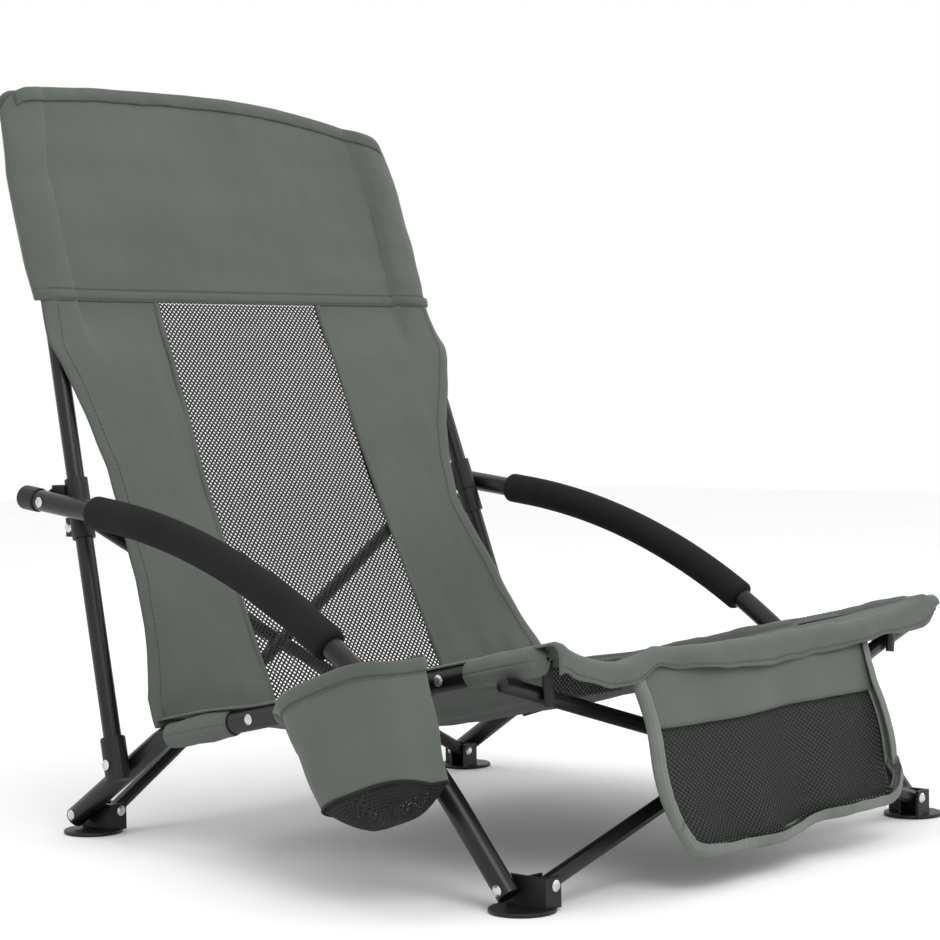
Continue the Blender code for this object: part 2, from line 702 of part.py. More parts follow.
def back_panels():
    """The headrest in front of the posts, and below its seam two side panels with mesh between them."""
    lean = math.atan(POST_LEAN_BACK)
    seam = Vector((0.0, post_point(1, SEAM_Z).y - BACK_CLEAR, SEAM_Z))
    place = Matrix.Translation(seam) @ Matrix.Rotation(math.pi / 2 - lean, 4, "X")
    pivot = post_point(-1, SOCKET.y)
    top = (BACK_TOP_Z - SEAM_Z) / math.cos(lean)
    low, high = HEADREST_HALF
    right = [(low, 0.0)]
    for i in range(5):
        turn = math.pi / 2 * i / 4
        x = high - HEADREST_CORNER * (1 - math.cos(turn))
        right.append((x, top - HEADREST_CORNER * (1 - math.sin(turn))))
    outline = right + [(-x, y) for x, y in reversed(right)]
    slab("headrest_panel", outline, place, FABRIC_T, FABRIC, pivot)

    fall = math.atan2(seam.y - BACK_FOOT[0], SEAM_Z - BACK_FOOT[1])
    below = Matrix.Translation(seam) @ Matrix.Rotation(math.pi / 2 - fall, 4, "X")

    def level(z):
        return (z - SEAM_Z) / math.cos(fall)

    upper = SEAM_Z - PANEL_GAP
    heights = [BACK_BOTTOM_Z, *[z for z, _ in reversed(WAIST[1:])], upper]
    outer = [(back_edge(z), level(z)) for z in heights]
    inner = [(MESH_HALF_TOP + PANEL_GAP, level(upper)), (MESH_HALF_BOTTOM + PANEL_GAP, level(BACK_BOTTOM_Z))]
    for label, side in SIDES.items():
        outline = [(side * x, y) for x, y in [*outer, *inner]]
        slab(f"back_side_panel_{label}", outline, below, FABRIC_T, FABRIC, pivot)
    mesh_outline = [
        (-MESH_HALF_BOTTOM, level(BACK_BOTTOM_Z)), (MESH_HALF_BOTTOM, level(BACK_BOTTOM_Z)),
        (MESH_HALF_TOP, level(upper)), (-MESH_HALF_TOP, level(upper)),
    ]
    slab("back_mesh_panel", mesh_outline, below, FABRIC_T, MESH, pivot)


def seat_panel():
    """The sagging seat between the rails, from the back's foot to its front edge."""

    def sag(x, y):
        share = (y - SEAT_FRONT_Y) / (SEAT_REAR_Y - SEAT_FRONT_Y)
        ends, more = SEAT_SAG
        return (ends + more * math.sin(math.pi * share)) * (1 - (x / SEAT_HALF) ** 2)

    def build(work):
        grid = []
        for y in stations(SEAT_FRONT_Y, SEAT_REAR_Y, 8):
            spots = [(x, y, rail_height(y) - sag(x, y)) for x in stations(-SEAT_HALF, SEAT_HALF, 6)]
            grid.append([work.verts.new(spot) for spot in spots])
        for near, far in zip(grid, grid[1:]):
            for i in range(len(near) - 1):
                work.faces.new((near[i], near[i + 1], far[i + 1], far[i]))

    made = add_object("seat_panel", mesh_of(build), FABRIC, side_point(-1, RAIL_X, SOCKET))
    shell = made.modifiers.new("Cloth", "SOLIDIFY")
    shell.thickness = FABRIC_T
    shell.offset = 0.0


def cup_holder():
    """An open tapered pouch outside the right arm, square to the seat rail, with a mesh bottom."""
    pivot = side_point(-1, RAIL_X, SOCKET)
    place = Matrix.Translation(CUP_TOP) @ Matrix.Rotation(-CUP_TILT, 4, "X")
    sides = 20

    def ring(work, depth, shrink):
        share = depth / CUP_DEPTH
        half = [CUP_HALF[i] * (1 + (CUP_TAPER[i] - 1) * share) - shrink for i in range(2)]
        made = []
        for i in range(sides):
            turn = 2 * math.pi * i / sides
            spot = Vector((half[0] * math.cos(turn), half[1] * math.sin(turn), -depth))
            made.append(work.verts.new(place @ spot))
        return made

    def skin(work, rings):
        for low, high in zip(rings, rings[1:]):
            for i in range(sides):
                j = (i + 1) % sides
                work.faces.new((low[i], low[j], high[j], high[i]))

    def build(work):
        outside = [ring(work, CUP_DEPTH, 0.0), ring(work, 0.0, 0.0)]
        inside = [ring(work, 0.0, CUP_WALL), ring(work, CUP_DEPTH, CUP_WALL)]
        skin(work, [*outside, *inside, outside[0]])

    def base(work):
        rings = [ring(work, CUP_DEPTH - 0.0010, CUP_WALL + PANEL_GAP),
                 ring(work, CUP_DEPTH - 0.0035, CUP_WALL + PANEL_GAP)]
        skin(work, rings)
        for end in rings:
            work.faces.new(end)

    add_object("cup_holder", mesh_of(build), FABRIC, pivot)
    add_object("cup_holder_base", mesh_of(base), MESH, pivot)


def front_pocket():
    """A flat pocket that hangs from the seat's front edge, its foot standing forward."""
    (top_y, top_z), (low_y, low_z) = POCKET_TOP, POCKET_BOTTOM
    length = math.hypot(top_y - low_y, top_z - low_z)
    lean = math.atan2(top_y - low_y, top_z - low_z)
    place = Matrix.Translation((0.0, low_y, low_z)) @ Matrix.Rotation(math.pi / 2 - lean, 4, "X")
    high, low = POCKET_HALF
    corner = 0.013
    right = [(low - corner, 0.0), (low, corner), (high, length)]
    outline = right + [(-x, y) for x, y in reversed(right)]
    slab("front_pocket", outline, place, POCKET_T, FABRIC, side_point(-1, RAIL_X, SOCKET))


# ---------------------------------------------------------------- the chair
for LABEL, SIDE in SIDES.items():
    arm(SIDE, LABEL)
    rail(SIDE, LABEL)
    hanger(SIDE, LABEL)
    post(SIDE, LABEL)
    foot(SIDE, LABEL, "front", FRONT_FOOT_X, FRONT_FOOT_Y, ARM_X, ARM_TUBE_R)
    foot(SIDE, LABEL, "rear", REAR_FOOT_X, REAR_FOOT_Y, RAIL_X, RAIL_TUBE_R)
cross_tubes()
back_panels()
seat_panel()
cup_holder()
front_pocket()
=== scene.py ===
"""Low folding camp chair: fabrics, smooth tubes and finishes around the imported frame.

Lengths are metres. Points are written in the chair's frame, whose x = 0 is the middle plane,
and `world` moves them to the row frame. The sitter's right hand is at -X.
"""

import math
from functools import partial

import bpy
from mathutils import Matrix, Vector, noise

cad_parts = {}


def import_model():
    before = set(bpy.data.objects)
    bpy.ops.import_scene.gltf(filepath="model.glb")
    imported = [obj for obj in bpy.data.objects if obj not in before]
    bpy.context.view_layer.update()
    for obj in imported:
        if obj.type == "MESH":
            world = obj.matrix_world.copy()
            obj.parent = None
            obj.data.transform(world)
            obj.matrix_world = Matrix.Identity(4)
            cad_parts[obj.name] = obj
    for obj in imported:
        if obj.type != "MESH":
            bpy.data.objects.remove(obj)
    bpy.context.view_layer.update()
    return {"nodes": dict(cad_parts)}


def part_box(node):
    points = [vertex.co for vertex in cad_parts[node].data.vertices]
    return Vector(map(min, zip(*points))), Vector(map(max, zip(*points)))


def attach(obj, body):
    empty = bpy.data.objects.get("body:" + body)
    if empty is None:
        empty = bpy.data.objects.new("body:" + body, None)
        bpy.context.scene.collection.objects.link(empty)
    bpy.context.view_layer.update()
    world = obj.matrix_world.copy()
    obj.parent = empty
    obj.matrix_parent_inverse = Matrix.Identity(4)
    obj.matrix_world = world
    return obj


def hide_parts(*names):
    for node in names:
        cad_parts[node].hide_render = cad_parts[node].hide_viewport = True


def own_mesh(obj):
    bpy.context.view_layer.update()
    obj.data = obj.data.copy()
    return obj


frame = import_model()

# ---------------------------------------------------------------- the frame's dimensions
FRONT_FOOT_Y = -0.267
SIDES = {"right": -1, "left": 1}
ARM_R = 0.0095
POST_R = 0.0080
FOAM_R = 0.0148
TUBE_SIDES = 32
TUBE_END = 0.006
RAIL_X = 0.2555
RAIL_FOOT = Vector((0.279, 0.0165))
RAIL_LEG_ANGLE = math.radians(33.5)
RAIL_LEG = 0.144
RAIL_SEAT_ANGLE = math.radians(12.2)
RAIL_SEAT = 0.441
RAIL_BEND_R = 0.045
SOCKET_AT = 0.095
SOCKET_R = 0.0112
RUN_GAP = 0.0005
POST_LEAN_IN = 0.087
POST_LEAN_BACK = 0.300
POST_TOP_Z = 0.662
COLLAR_Z = 0.300
COLLAR_R = 0.0105
ARM_FOOT = Vector((-0.255, 0.0165))
ARM_REAR_Y = 0.316
ARM_REAR_ANGLE = math.radians(7.0)
ARM_FRONT_ANGLE = math.radians(50.0)
ARM_BEND_R = 0.650
ARM_PIVOT_BEHIND = 0.019  # the arm's pivot behind the post's centre line
FOAM_Y = (0.222, -0.072)
SEAM_Z = 0.480
BACK_BOTTOM_Z = 0.106
SEAT_Y = (-0.289, 0.169)  # its front and rear edges


def foot_centre(name):
    """The middle of a foot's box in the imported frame."""
    low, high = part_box(name)
    return (low + high) / 2


ORIGIN = (foot_centre("foot_front_right") + foot_centre("foot_front_left")) / 2
ORIGIN = Vector((ORIGIN.x, ORIGIN.y - FRONT_FOOT_Y, 0.0))


def world(point):
    """A chair-frame point in the row frame."""
    return Vector(point) + ORIGIN


def along(angle, length):
    """The (y, z) step of this length forward and up at this angle."""
    return Vector((-math.cos(angle) * length, math.sin(angle) * length))


RAIL_CORNER = RAIL_FOOT + along(RAIL_LEG_ANGLE, RAIL_LEG)
RAIL_FRONT = RAIL_CORNER + along(RAIL_SEAT_ANGLE, RAIL_SEAT)
SOCKET = RAIL_FOOT + along(RAIL_LEG_ANGLE, SOCKET_AT)
SOCKET_X = RAIL_X + ARM_R + SOCKET_R + RUN_GAP


def post_y(z):
    return SOCKET.x + POST_LEAN_BACK * (z - SOCKET.y)


def post_x(z):
    return SOCKET_X - POST_LEAN_IN * (z - SOCKET.y)


ARM_X = post_x(COLLAR_Z) + COLLAR_R + ARM_R + 2 * RUN_GAP


def rail_height(y):
    """Height of the seat rails' centre line."""
    return RAIL_CORNER.y + (RAIL_CORNER.x - y) * math.tan(RAIL_SEAT_ANGLE)


def smooth(low, high, value):
    """A soft step from 0 at low to 1 at high."""
    t = min(max((value - low) / (high - low), 0.0), 1.0)
    return t * t * (3 - 2 * t)


def mix(a, b, t):
    return a + (b - a) * t


def level(table, at):
    """The value between rows of (place, value), places falling."""
    for (high_at, high), (low_at, low) in zip(table, table[1:]):
        if at >= low_at:
            return low + (high - low) * min((at - low_at) / (high_at - low_at), 1.0)
    return table[-1][1]


def rough(x, y, z, size, seed=0.0):
    """Smooth noise from about -1 to 1 whose lumps are this size."""
    return noise.noise(Vector((x / size + seed, y / size, z / size - seed)))


# ---------------------------------------------------------------- materials
def nodes_of(name):
    made = bpy.data.materials.new(name)
    made.use_nodes = True
    return made, made.node_tree.nodes, made.node_tree.links


def fill(node, values):
    """Sets a shader node's inputs."""
    for key, value in values.items():
        node.inputs[key].default_value = value


def finish_material(name, dark, light, patch, rough_range, bumps, metallic=0.0, sheen=0.0,
                    coat=0.0, shine=0.3, stripes=None):
    """A surface whose colour, gloss and fine relief come from noise.

    patch is the noise's scale, bumps is (scale, height) pairs, and stripes is a weave's
    (period, height, share of shading).
    """
    made, nodes, links = nodes_of(name)
    shader = nodes["Principled BSDF"]
    fill(shader, {"Metallic": metallic, "Sheen Weight": sheen, "Coat Weight": coat,
                  "Specular IOR Level": shine})
    place = nodes.new("ShaderNodeTexCoord")
    cloud = nodes.new("ShaderNodeTexNoise")
    fill(cloud, {"Scale": patch, "Detail": 5.0})
    links.new(place.outputs["Object"], cloud.inputs["Vector"])
    ramp = nodes.new("ShaderNodeMapRange")
    fill(ramp, {"From Min": 0.3, "From Max": 0.7})
    links.new(cloud.outputs["Fac"], ramp.inputs["Value"])
    colour = nodes.new("ShaderNodeMix")
    colour.data_type = "RGBA"
    fill(colour, {6: (*dark, 1.0), 7: (*light, 1.0)})  # its two colours
    links.new(ramp.outputs["Result"], colour.inputs[0])
    result = colour.outputs[2]
    gloss = nodes.new("ShaderNodeMapRange")
    fill(gloss, {"To Min": rough_range[0], "To Max": rough_range[1]})
    links.new(cloud.outputs["Fac"], gloss.inputs["Value"])
    links.new(gloss.outputs["Result"], shader.inputs["Roughness"])
    last = None
    if stripes:
        period, height, share = stripes
        heights = []
        for direction in ("X", "Y"):
            wave = nodes.new("ShaderNodeTexWave")
            wave.bands_direction = direction
            fill(wave, {"Scale": math.pi / (10 * period), "Distortion": 0.6, "Detail": 1.0})
            links.new(place.outputs["UV"], wave.inputs["Vector"])
            heights.append(wave.outputs["Fac"])
        weave = nodes.new("ShaderNodeMath")
        weave.operation = "MULTIPLY"
        links.new(heights[0], weave.inputs[0])
        links.new(heights[1], weave.inputs[1])
        shade = nodes.new("ShaderNodeMapRange")
        fill(shade, {"To Min": 1.0 - share, "To Max": 1.0 + share})
        links.new(weave.outputs[0], shade.inputs["Value"])
        threads = nodes.new("ShaderNodeVectorMath")
        threads.operation = "SCALE"
        links.new(result, threads.inputs[0])
        links.new(shade.outputs["Result"], threads.inputs["Scale"])
        result = threads.outputs[0]
        last = nodes.new("ShaderNodeBump")
        fill(last, {"Strength": 0.6, "Distance": height})
        links.new(weave.outputs[0], last.inputs["Height"])
    links.new(result, shader.inputs["Base Color"])
    for scale, height in bumps:
        grain = nodes.new("ShaderNodeTexNoise")
        fill(grain, {"Scale": scale, "Detail": 3.0})
        links.new(place.outputs["Object"], grain.inputs["Vector"])
        bump = nodes.new("ShaderNodeBump")
        fill(bump, {"Strength": 0.7, "Distance": height})
        links.new(grain.outputs["Fac"], bump.inputs["Height"])
        if last:
            links.new(last.outputs["Normal"], bump.inputs["Normal"])
        last = bump
    links.new(last.outputs["Normal"], shader.inputs["Normal"])
    return made


CLOTH = finish_material(
    "grey_cloth", (0.088, 0.101, 0.087), (0.101, 0.115, 0.100), 9.0, (0.78, 0.92),
    ((40.0, 0.0012), (160.0, 0.0003)), sheen=0.12, stripes=(0.0006, 0.00012, 0.10))
HEM = finish_material(
    "grey_hem", (0.078, 0.090, 0.077), (0.094, 0.107, 0.093), 14.0, (0.80, 0.92),
    ((90.0, 0.0010), (300.0, 0.0003)), sheen=0.12, stripes=(0.0006, 0.00012, 0.12))
BINDING = finish_material(
    "grey_binding", (0.135, 0.151, 0.132), (0.168, 0.186, 0.165), 30.0, (0.8, 0.95),
    ((120.0, 0.0010), (420.0, 0.0003)), sheen=0.15, stripes=(0.0011, 0.00025, 0.16))
NET = finish_material(
    "black_net", (0.004, 0.004, 0.004), (0.009, 0.009, 0.009), 60.0, (0.55, 0.75),
    ((900.0, 0.0002),))
PAINT = finish_material(
    "black_paint_gloss", (0.004, 0.0039, 0.0038), (0.008, 0.0077, 0.0074), 22.0, (0.30, 0.42),
    ((700.0, 0.00003),), coat=0.08, shine=0.34)
PLASTIC = finish_material(
    "black_plastic_satin", (0.005, 0.005, 0.0054), (0.010, 0.010, 0.0105), 35.0, (0.38, 0.55),
    ((1200.0, 0.00005),), shine=0.34)
FOAM = finish_material(
    "foam_matte", (0.010, 0.010, 0.0105), (0.015, 0.015, 0.0155), 18.0, (0.88, 0.98),
    ((1400.0, 0.0003), (300.0, 0.0002)), shine=0.18)
STEEL = finish_material(
    "rivet_bright", (0.50, 0.50, 0.51), (0.72, 0.72, 0.73), 220.0, (0.22, 0.42),
    ((900.0, 0.00005),), metallic=1.0)
THREAD = finish_material(
    "pale_thread", (0.30, 0.32, 0.29), (0.45, 0.46, 0.42), 200.0, (0.8, 0.9),
    ((900.0, 0.0001),))
STITCH = finish_material(
    "grey_stitch", (0.070, 0.080, 0.070), (0.100, 0.112, 0.099), 200.0, (0.8, 0.9),
    ((900.0, 0.0001),))

# the CAD nodes that stay visible take these looks
LOOKS = {"black_paint": PAINT, "black_plastic": PLASTIC, "foam": FOAM, "rivet_steel": STEEL,
         "grey_fabric": CLOTH, "black_mesh": NET}
for node in frame["nodes"].values():
    for spot in node.material_slots:
        for slot_name, look in LOOKS.items():
            if spot.material and spot.material.name.startswith(slot_name):
                spot.material = look
                break


# ---------------------------------------------------------------- modelling helpers
def add(name, points, faces, look, uvs=None):
    """A mesh object from chair-frame points. uvs has one (u, v) for each point."""
    mesh = bpy.data.meshes.new(name)
    mesh.from_pydata([world(p) for p in points], [], faces)
    if uvs:
        layer = mesh.uv_layers.new(name="metres")
        for loop in mesh.loops:
            layer.data[loop.index].uv = uvs[loop.vertex_index]
    mesh.materials.append(look)
    mesh.shade_smooth()
    made = bpy.data.objects.new(name, mesh)
    bpy.context.scene.collection.objects.link(made)
    return made


def solid(obj, thickness, offset=0.0):
    """The sheet given a thickness, centred on it unless offset moves it."""
    shell = obj.modifiers.new("Thickness", "SOLIDIFY")
    shell.thickness = thickness
    shell.offset = offset
    return obj


def grid(name, place, columns, rows, look, size, thickness=0.0012, offset=0.0):
    """A sheet whose point at (u, v), each from 0 to 1, is place(u, v). size is its UVs' metres."""
    points, uvs, faces = [], [], []
    for j in range(rows + 1):
        for i in range(columns + 1):
            u, v = i / columns, j / rows
            points.append(place(u, v))
            uvs.append((u * size[0], v * size[1]))
    wide = columns + 1
    for j in range(rows):
        for i in range(columns):
            a = j * wide + i
            faces.append((a, a + 1, a + 1 + wide, a + wide))
    return solid(add(name, points, faces, look, uvs), thickness, offset)


def directions(points):
    """(tangent, side, up) at each point, carried along the path without twisting."""
    points = [Vector(p) for p in points]
    found, side = [], None
    for i, point in enumerate(points):
        ahead = points[min(i + 1, len(points) - 1)]
        behind = points[max(i - 1, 0)]
        tangent = (ahead - behind).normalized()
        if side is None:
            side = Vector((1.0, 0.0, 0.0)) if abs(tangent.x) < 0.8 else Vector((0.0, 0.0, 1.0))
        side = (side - tangent * side.dot(tangent)).normalized()
        found.append((tangent, side, tangent.cross(side)))
    return found


def tube(name, path, radius, look, sides=TUBE_SIDES, wide=1.0, radii=None):
    """A round bar along a path with its ends closed, or an oval one that is wide times as wide."""
    points, uvs, faces = [], [], []
    run = 0.0
    frames = directions(path)
    for k, (centre, (_, side, up)) in enumerate(zip(path, frames)):
        if k:
            run += (Vector(path[k]) - Vector(path[k - 1])).length
        r = radii[k] if radii else radius
        for i in range(sides):
            turn = 2 * math.pi * i / sides
            across, rise = side * (math.cos(turn) * r * wide), up * (math.sin(turn) * r)
            points.append(Vector(centre) + across + rise)
            uvs.append((run, turn * r))
    for k in range(len(path) - 1):
        for i in range(sides):
            j = (i + 1) % sides
            near, far = k * sides, (k + 1) * sides
            faces.append((near + i, near + j, far + j, far + i))
    faces.append(tuple(reversed(range(sides))))
    faces.append(tuple(range((len(path) - 1) * sides, len(path) * sides)))
    made = add(name, points, faces, look, uvs)
    made.data.set_sharp_from_angle(angle=math.radians(50))
    return made


def stations(start, end, count):
    """The ends of count equal steps from start to end."""
    return [start + (end - start) * i / count for i in range(count + 1)]


def dense(path, step):
    """The same path with points no further apart than this."""
    made = [Vector(path[0])]
    for start, end in zip(path, path[1:]):
        start, end = Vector(start), Vector(end)
        count = max(1, int((end - start).length / step))
        made += [start.lerp(end, (i + 1) / count) for i in range(count)]
    return made


def stitches(name, path, out, length=0.0032, gap=0.0012, radius=0.00035):
    """Sewing stitches along a path: short rounded bars, just proud of the cloth along out."""
    path = dense(path, 0.0005)
    run, places = 0.0, []
    pitch = length + gap
    start = None
    for a, b in zip(path, path[1:]):
        if start is None and run % pitch < length:
            start = a
        run += (b - a).length
        if start is not None and run % pitch >= length:
            places.append((start, b))
            start = None
    points, faces = [], []
    out = Vector(out).normalized()
    for start, end in places:
        tangent = (end - start).normalized()
        side = tangent.cross(out).normalized()
        base = len(points)
        for share, size in ((0.0, 0.25), (0.2, 1.0), (0.8, 1.0), (1.0, 0.25)):
            centre = start.lerp(end, share) + out * (radius * (1.2 if 0 < share < 1 else 0.2))
            for i in range(5):
                turn = 2 * math.pi * i / 5
                spoke = side * math.cos(turn) + out * math.sin(turn)
                points.append(centre + spoke * radius * size)
        for k in range(3):
            for i in range(5):
                j = (i + 1) % 5
                near, far = base + k * 5, base + k * 5 + 5
                faces.append((near + i, near + j, far + j, far + i))
        faces.append(tuple(base + i for i in reversed(range(5))))
        faces.append(tuple(base + 15 + i for i in range(5)))
    return add(name, points, faces, STITCH)


NET_PITCH = 0.0054
NET_ROW = 0.42  # height of a half row against its width
NET_THICK = 0.0005


def net(name, place, size, pitch=NET_PITCH, hole=0.57):
    """An open net laid on place(u, v), with diamond holes of this share of their cells.

    size is its width and length in metres.
    """
    across = max(2, round(size[0] / pitch))
    down = max(2, round(size[1] / (pitch * NET_ROW)))
    step_u, step_v = 1.0 / across, 1.0 / down
    corners = ((0, 1), (1, 0), (0, -1), (-1, 0))
    points, faces, uvs, known = [], [], [], {}

    def vertex(u, v, key):
        if key not in known:
            known[key] = len(points)
            points.append(place(min(max(u, 0.0), 1.0), min(max(v, 0.0), 1.0)))
            uvs.append((u * size[0], v * size[1]))
        return known[key]

    for row in range(1, down):
        for column in range(across + 1):
            at_u, at_v = 2 * column + row % 2, row
            if not 0 < at_u < 2 * across:
                continue
            ring = []
            for du, dv in corners:
                ring.append((
                    vertex((at_u + du) * step_u / 2, (at_v + dv) * step_v, (at_u + du, at_v + dv)),
                    vertex((at_u + du * hole) * step_u / 2, (at_v + dv * hole) * step_v,
                           (at_u, at_v, du, dv))))
            for (a, b), (c, d) in zip(ring, ring[1:] + ring[:1]):
                faces.append((a, c, d, b))
    return solid(add(name, points, faces, NET, uvs), NET_THICK)


# ---------------------------------------------------------------- the frame's smooth tubes
def filleted(a, b, c, radius, count=10):
    """The points of a corner at b rounded to this radius, in the (y, z) plane."""
    before, after = (a - b).normalized(), (c - b).normalized()
    half = before.angle(after) / 2
    setback = radius / math.tan(half)
    centre = b + (before + after).normalized() * (radius / math.sin(half))
    start, end = b + before * setback, b + after * setback
    first, last = start - centre, end - centre
    swing = first.angle(last)
    made = []
    for t in stations(0.0, 1.0, count):
        near, far = math.sin((1 - t) * swing), math.sin(t * swing)
        made.append(centre + (first * near + last * far) / math.sin(swing))
    return made


def rail_path(side):
    """A seat rail's centre line, from its rear foot to its front end."""
    foot_end = RAIL_FOOT - along(RAIL_LEG_ANGLE, TUBE_END)
    flat = [foot_end, *filleted(foot_end, RAIL_CORNER, RAIL_FRONT, RAIL_BEND_R), RAIL_FRONT]
    return [Vector((side * RAIL_X, p.x, p.y)) for p in flat]


def arm_numbers():
    """The arm's straight lengths behind and before its bend, and the height of its rear end."""
    first, last = ARM_REAR_ANGLE, ARM_FRONT_ANGLE
    pivot_y = post_y(COLLAR_Z) + ARM_PIVOT_BEHIND
    rear_z = COLLAR_Z + (ARM_REAR_Y - pivot_y) * math.tan(first)
    run = ARM_REAR_Y - ARM_FOOT.x - ARM_BEND_R * (math.sin(last) - math.sin(first))
    drop = rear_z - ARM_FOOT.y + ARM_BEND_R * (math.cos(last) - math.cos(first))
    turn = math.sin(last - first)
    rear = (run * math.sin(last) - drop * math.cos(last)) / turn
    front = (drop * math.cos(first) - run * math.sin(first)) / turn
    return rear, front, rear_z


ARM_REAR, ARM_FRONT, ARM_REAR_Z = arm_numbers()
ARM_ARC = ARM_BEND_R * (ARM_FRONT_ANGLE - ARM_REAR_ANGLE)


def arm_point(s, side):
    """The point this far along an arm from its rear end."""
    first = ARM_REAR_ANGLE
    rear = min(s, ARM_REAR)
    y = ARM_REAR_Y - rear * math.cos(first)
    z = ARM_REAR_Z - rear * math.sin(first)
    arc = min(max(s - ARM_REAR, 0.0), ARM_ARC)
    heading = first + arc / ARM_BEND_R
    y -= ARM_BEND_R * (math.sin(heading) - math.sin(first))
    z += ARM_BEND_R * (math.cos(heading) - math.cos(first))
    front = max(s - ARM_REAR - ARM_ARC, 0.0)
    return Vector((side * ARM_X, y - front * math.cos(heading), z - front * math.sin(heading)))


def arm_path(side, from_y=None, to_y=None):
    """An arm's centre line, whole or between two depths."""
    total = ARM_REAR + ARM_ARC + ARM_FRONT + TUBE_END
    path = [arm_point(s, side) for s in stations(0.0, total, 90)]
    if from_y is None:
        return path
    inner = [p for p in path if to_y < p.y < from_y]
    ends = []
    for at in (from_y, to_y):
        for a, b in zip(path, path[1:]):
            if b.y < at <= a.y:
                ends.append(a.lerp(b, (a.y - at) / (a.y - b.y)))
    return [ends[0], *inner, ends[1]]


def foam_grip(name, side):
    """The foam sleeve over an arm, with rounded ends."""
    path = arm_path(side, *FOAM_Y)
    rounding = 0.004
    rear_dir = (path[1] - path[0]).normalized()
    front_dir = (path[-2] - path[-1]).normalized()
    ends = []
    for k in range(5):
        turn = math.pi / 2 * k / 4
        ends.append((rounding * (1 - math.cos(turn)), FOAM_R - rounding * (1 - math.sin(turn))))
    line, radii = [], []
    for into, r in ends:
        line.append(path[0] + rear_dir * into)
        radii.append(r)
    for p in path[1:-1]:
        if min((p - path[0]).length, (p - path[-1]).length) > rounding * 1.5:
            line.append(p)
            radii.append(FOAM_R)
    for into, r in reversed(ends):
        line.append(path[-1] + front_dir * into)
        radii.append(r)
    return tube(name, line, FOAM_R, FOAM, radii=radii)


for label, side in SIDES.items():
    piece = tube(f"rail_smooth_{label}", rail_path(side), ARM_R, PAINT)
    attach(piece, f"rail_{label}")
    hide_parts(f"seat_rail_{label}")
    piece = tube(f"arm_smooth_{label}", arm_path(side), ARM_R, PAINT)
    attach(piece, f"arm_{label}")
    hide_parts(f"arm_tube_{label}")
    piece = foam_grip(f"foam_grip_{label}", side)
    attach(piece, f"arm_{label}")
    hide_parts(f"arm_foam_grip_{label}")
    low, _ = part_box(f"back_post_{label}")
    bottom = low.z + POST_R * 0.3
    path = [Vector((side * post_x(z), post_y(z), z)) for z in (bottom, POST_TOP_Z)]
    piece = tube(f"post_smooth_{label}", path, POST_R, PAINT)
    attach(piece, f"post_{label}")
    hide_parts(f"back_post_{label}")

# ---------------------------------------------------------------- back and headrest
BAND_LOW = 0.0030  # the seam band's lower and upper edges above SEAM_Z
BAND_HIGH = 0.0115
SLEEVE = 0.048  # width of the pocket that takes each post
HEADREST_TOP_Z = 0.6900
BACK_SHARE = 0.09  # share of the headrest's u on the back, at each side
FRONT_SHARE = 0.82
FRONT_ENDS = (0.0901, 0.9099)
BACK_SLOPE = 0.39
BACK_FOOT = Vector((0.172, 0.131))
# Rows of (height, half width), from the top down. The sides differ, as sewn cloth does.
HEADREST_HALF = ((0.700, 0.246), (0.655, 0.249), (0.600, 0.2575), (0.540, 0.258),
                 (0.480, 0.2555), (0.470, 0.255))
HEADREST_SHIFT = {
    -1: ((0.700, 0.0035), (0.470, 0.0035)),
    1: ((0.700, -0.004), (0.600, -0.002), (0.540, 0.000), (0.480, 0.003), (0.470, 0.003)),
}
WAIST = {
    -1: ((0.480, 0.257), (0.440, 0.261), (0.380, 0.244), (0.330, 0.232), (0.288, 0.228),
         (0.230, 0.234), (0.190, 0.242), (0.150, 0.257), (0.130, 0.266), (0.104, 0.264)),
    1: ((0.480, 0.257), (0.440, 0.264), (0.400, 0.249), (0.360, 0.231), (0.320, 0.222),
        (0.285, 0.217), (0.250, 0.224), (0.225, 0.231), (0.190, 0.240), (0.130, 0.264),
        (0.104, 0.268)),
}
MESH_HALF = {-1: (0.114, 0.1185), 1: (0.1035, 0.1185)}  # at the seam and at the bottom


def head_half(x, z):
    """Half width of the headrest on this side of the middle plane."""
    return level(HEADREST_HALF, z) + level(HEADREST_SHIFT[-1 if x < 0 else 1], z)


def top_z(u):
    """Height of the headrest's top edge, u from -1 at the right to 1 at the left."""
    drop = 0.011 * abs(u) ** 2.4 if u < 0 else 0.034 * u ** 2.2
    return HEADREST_TOP_Z - drop + 0.0012 * rough(u * 0.25, 0.0, 0.0, 0.05, 3.1)


def middle_y(x, z, half):
    """Depth of the cloth's middle layer in the headrest."""
    span = max(half - SLEEVE, 0.05)
    inner = min(abs(x) / span, 1.0)
    return post_y(z) + 0.0045 * (1 - inner * inner)


def sleeve_depth(x, half):
    """How far the cloth stands out over a post."""
    centre, reach = half - SLEEVE / 2, SLEEVE / 2
    away = (abs(x) - centre) / reach
    return 0.0112 * max(1 - away * away, 0.0) ** 0.6


def wrinkle(x, z, seed=0.0):
    """Small shallow creases of slack cloth."""
    broad = rough(x, 0.0, z, 0.090, seed) * 0.0022
    fine = rough(x * 1.8, 0.0, z * 0.7, 0.030, seed + 5.0) * 0.0007
    return broad + fine


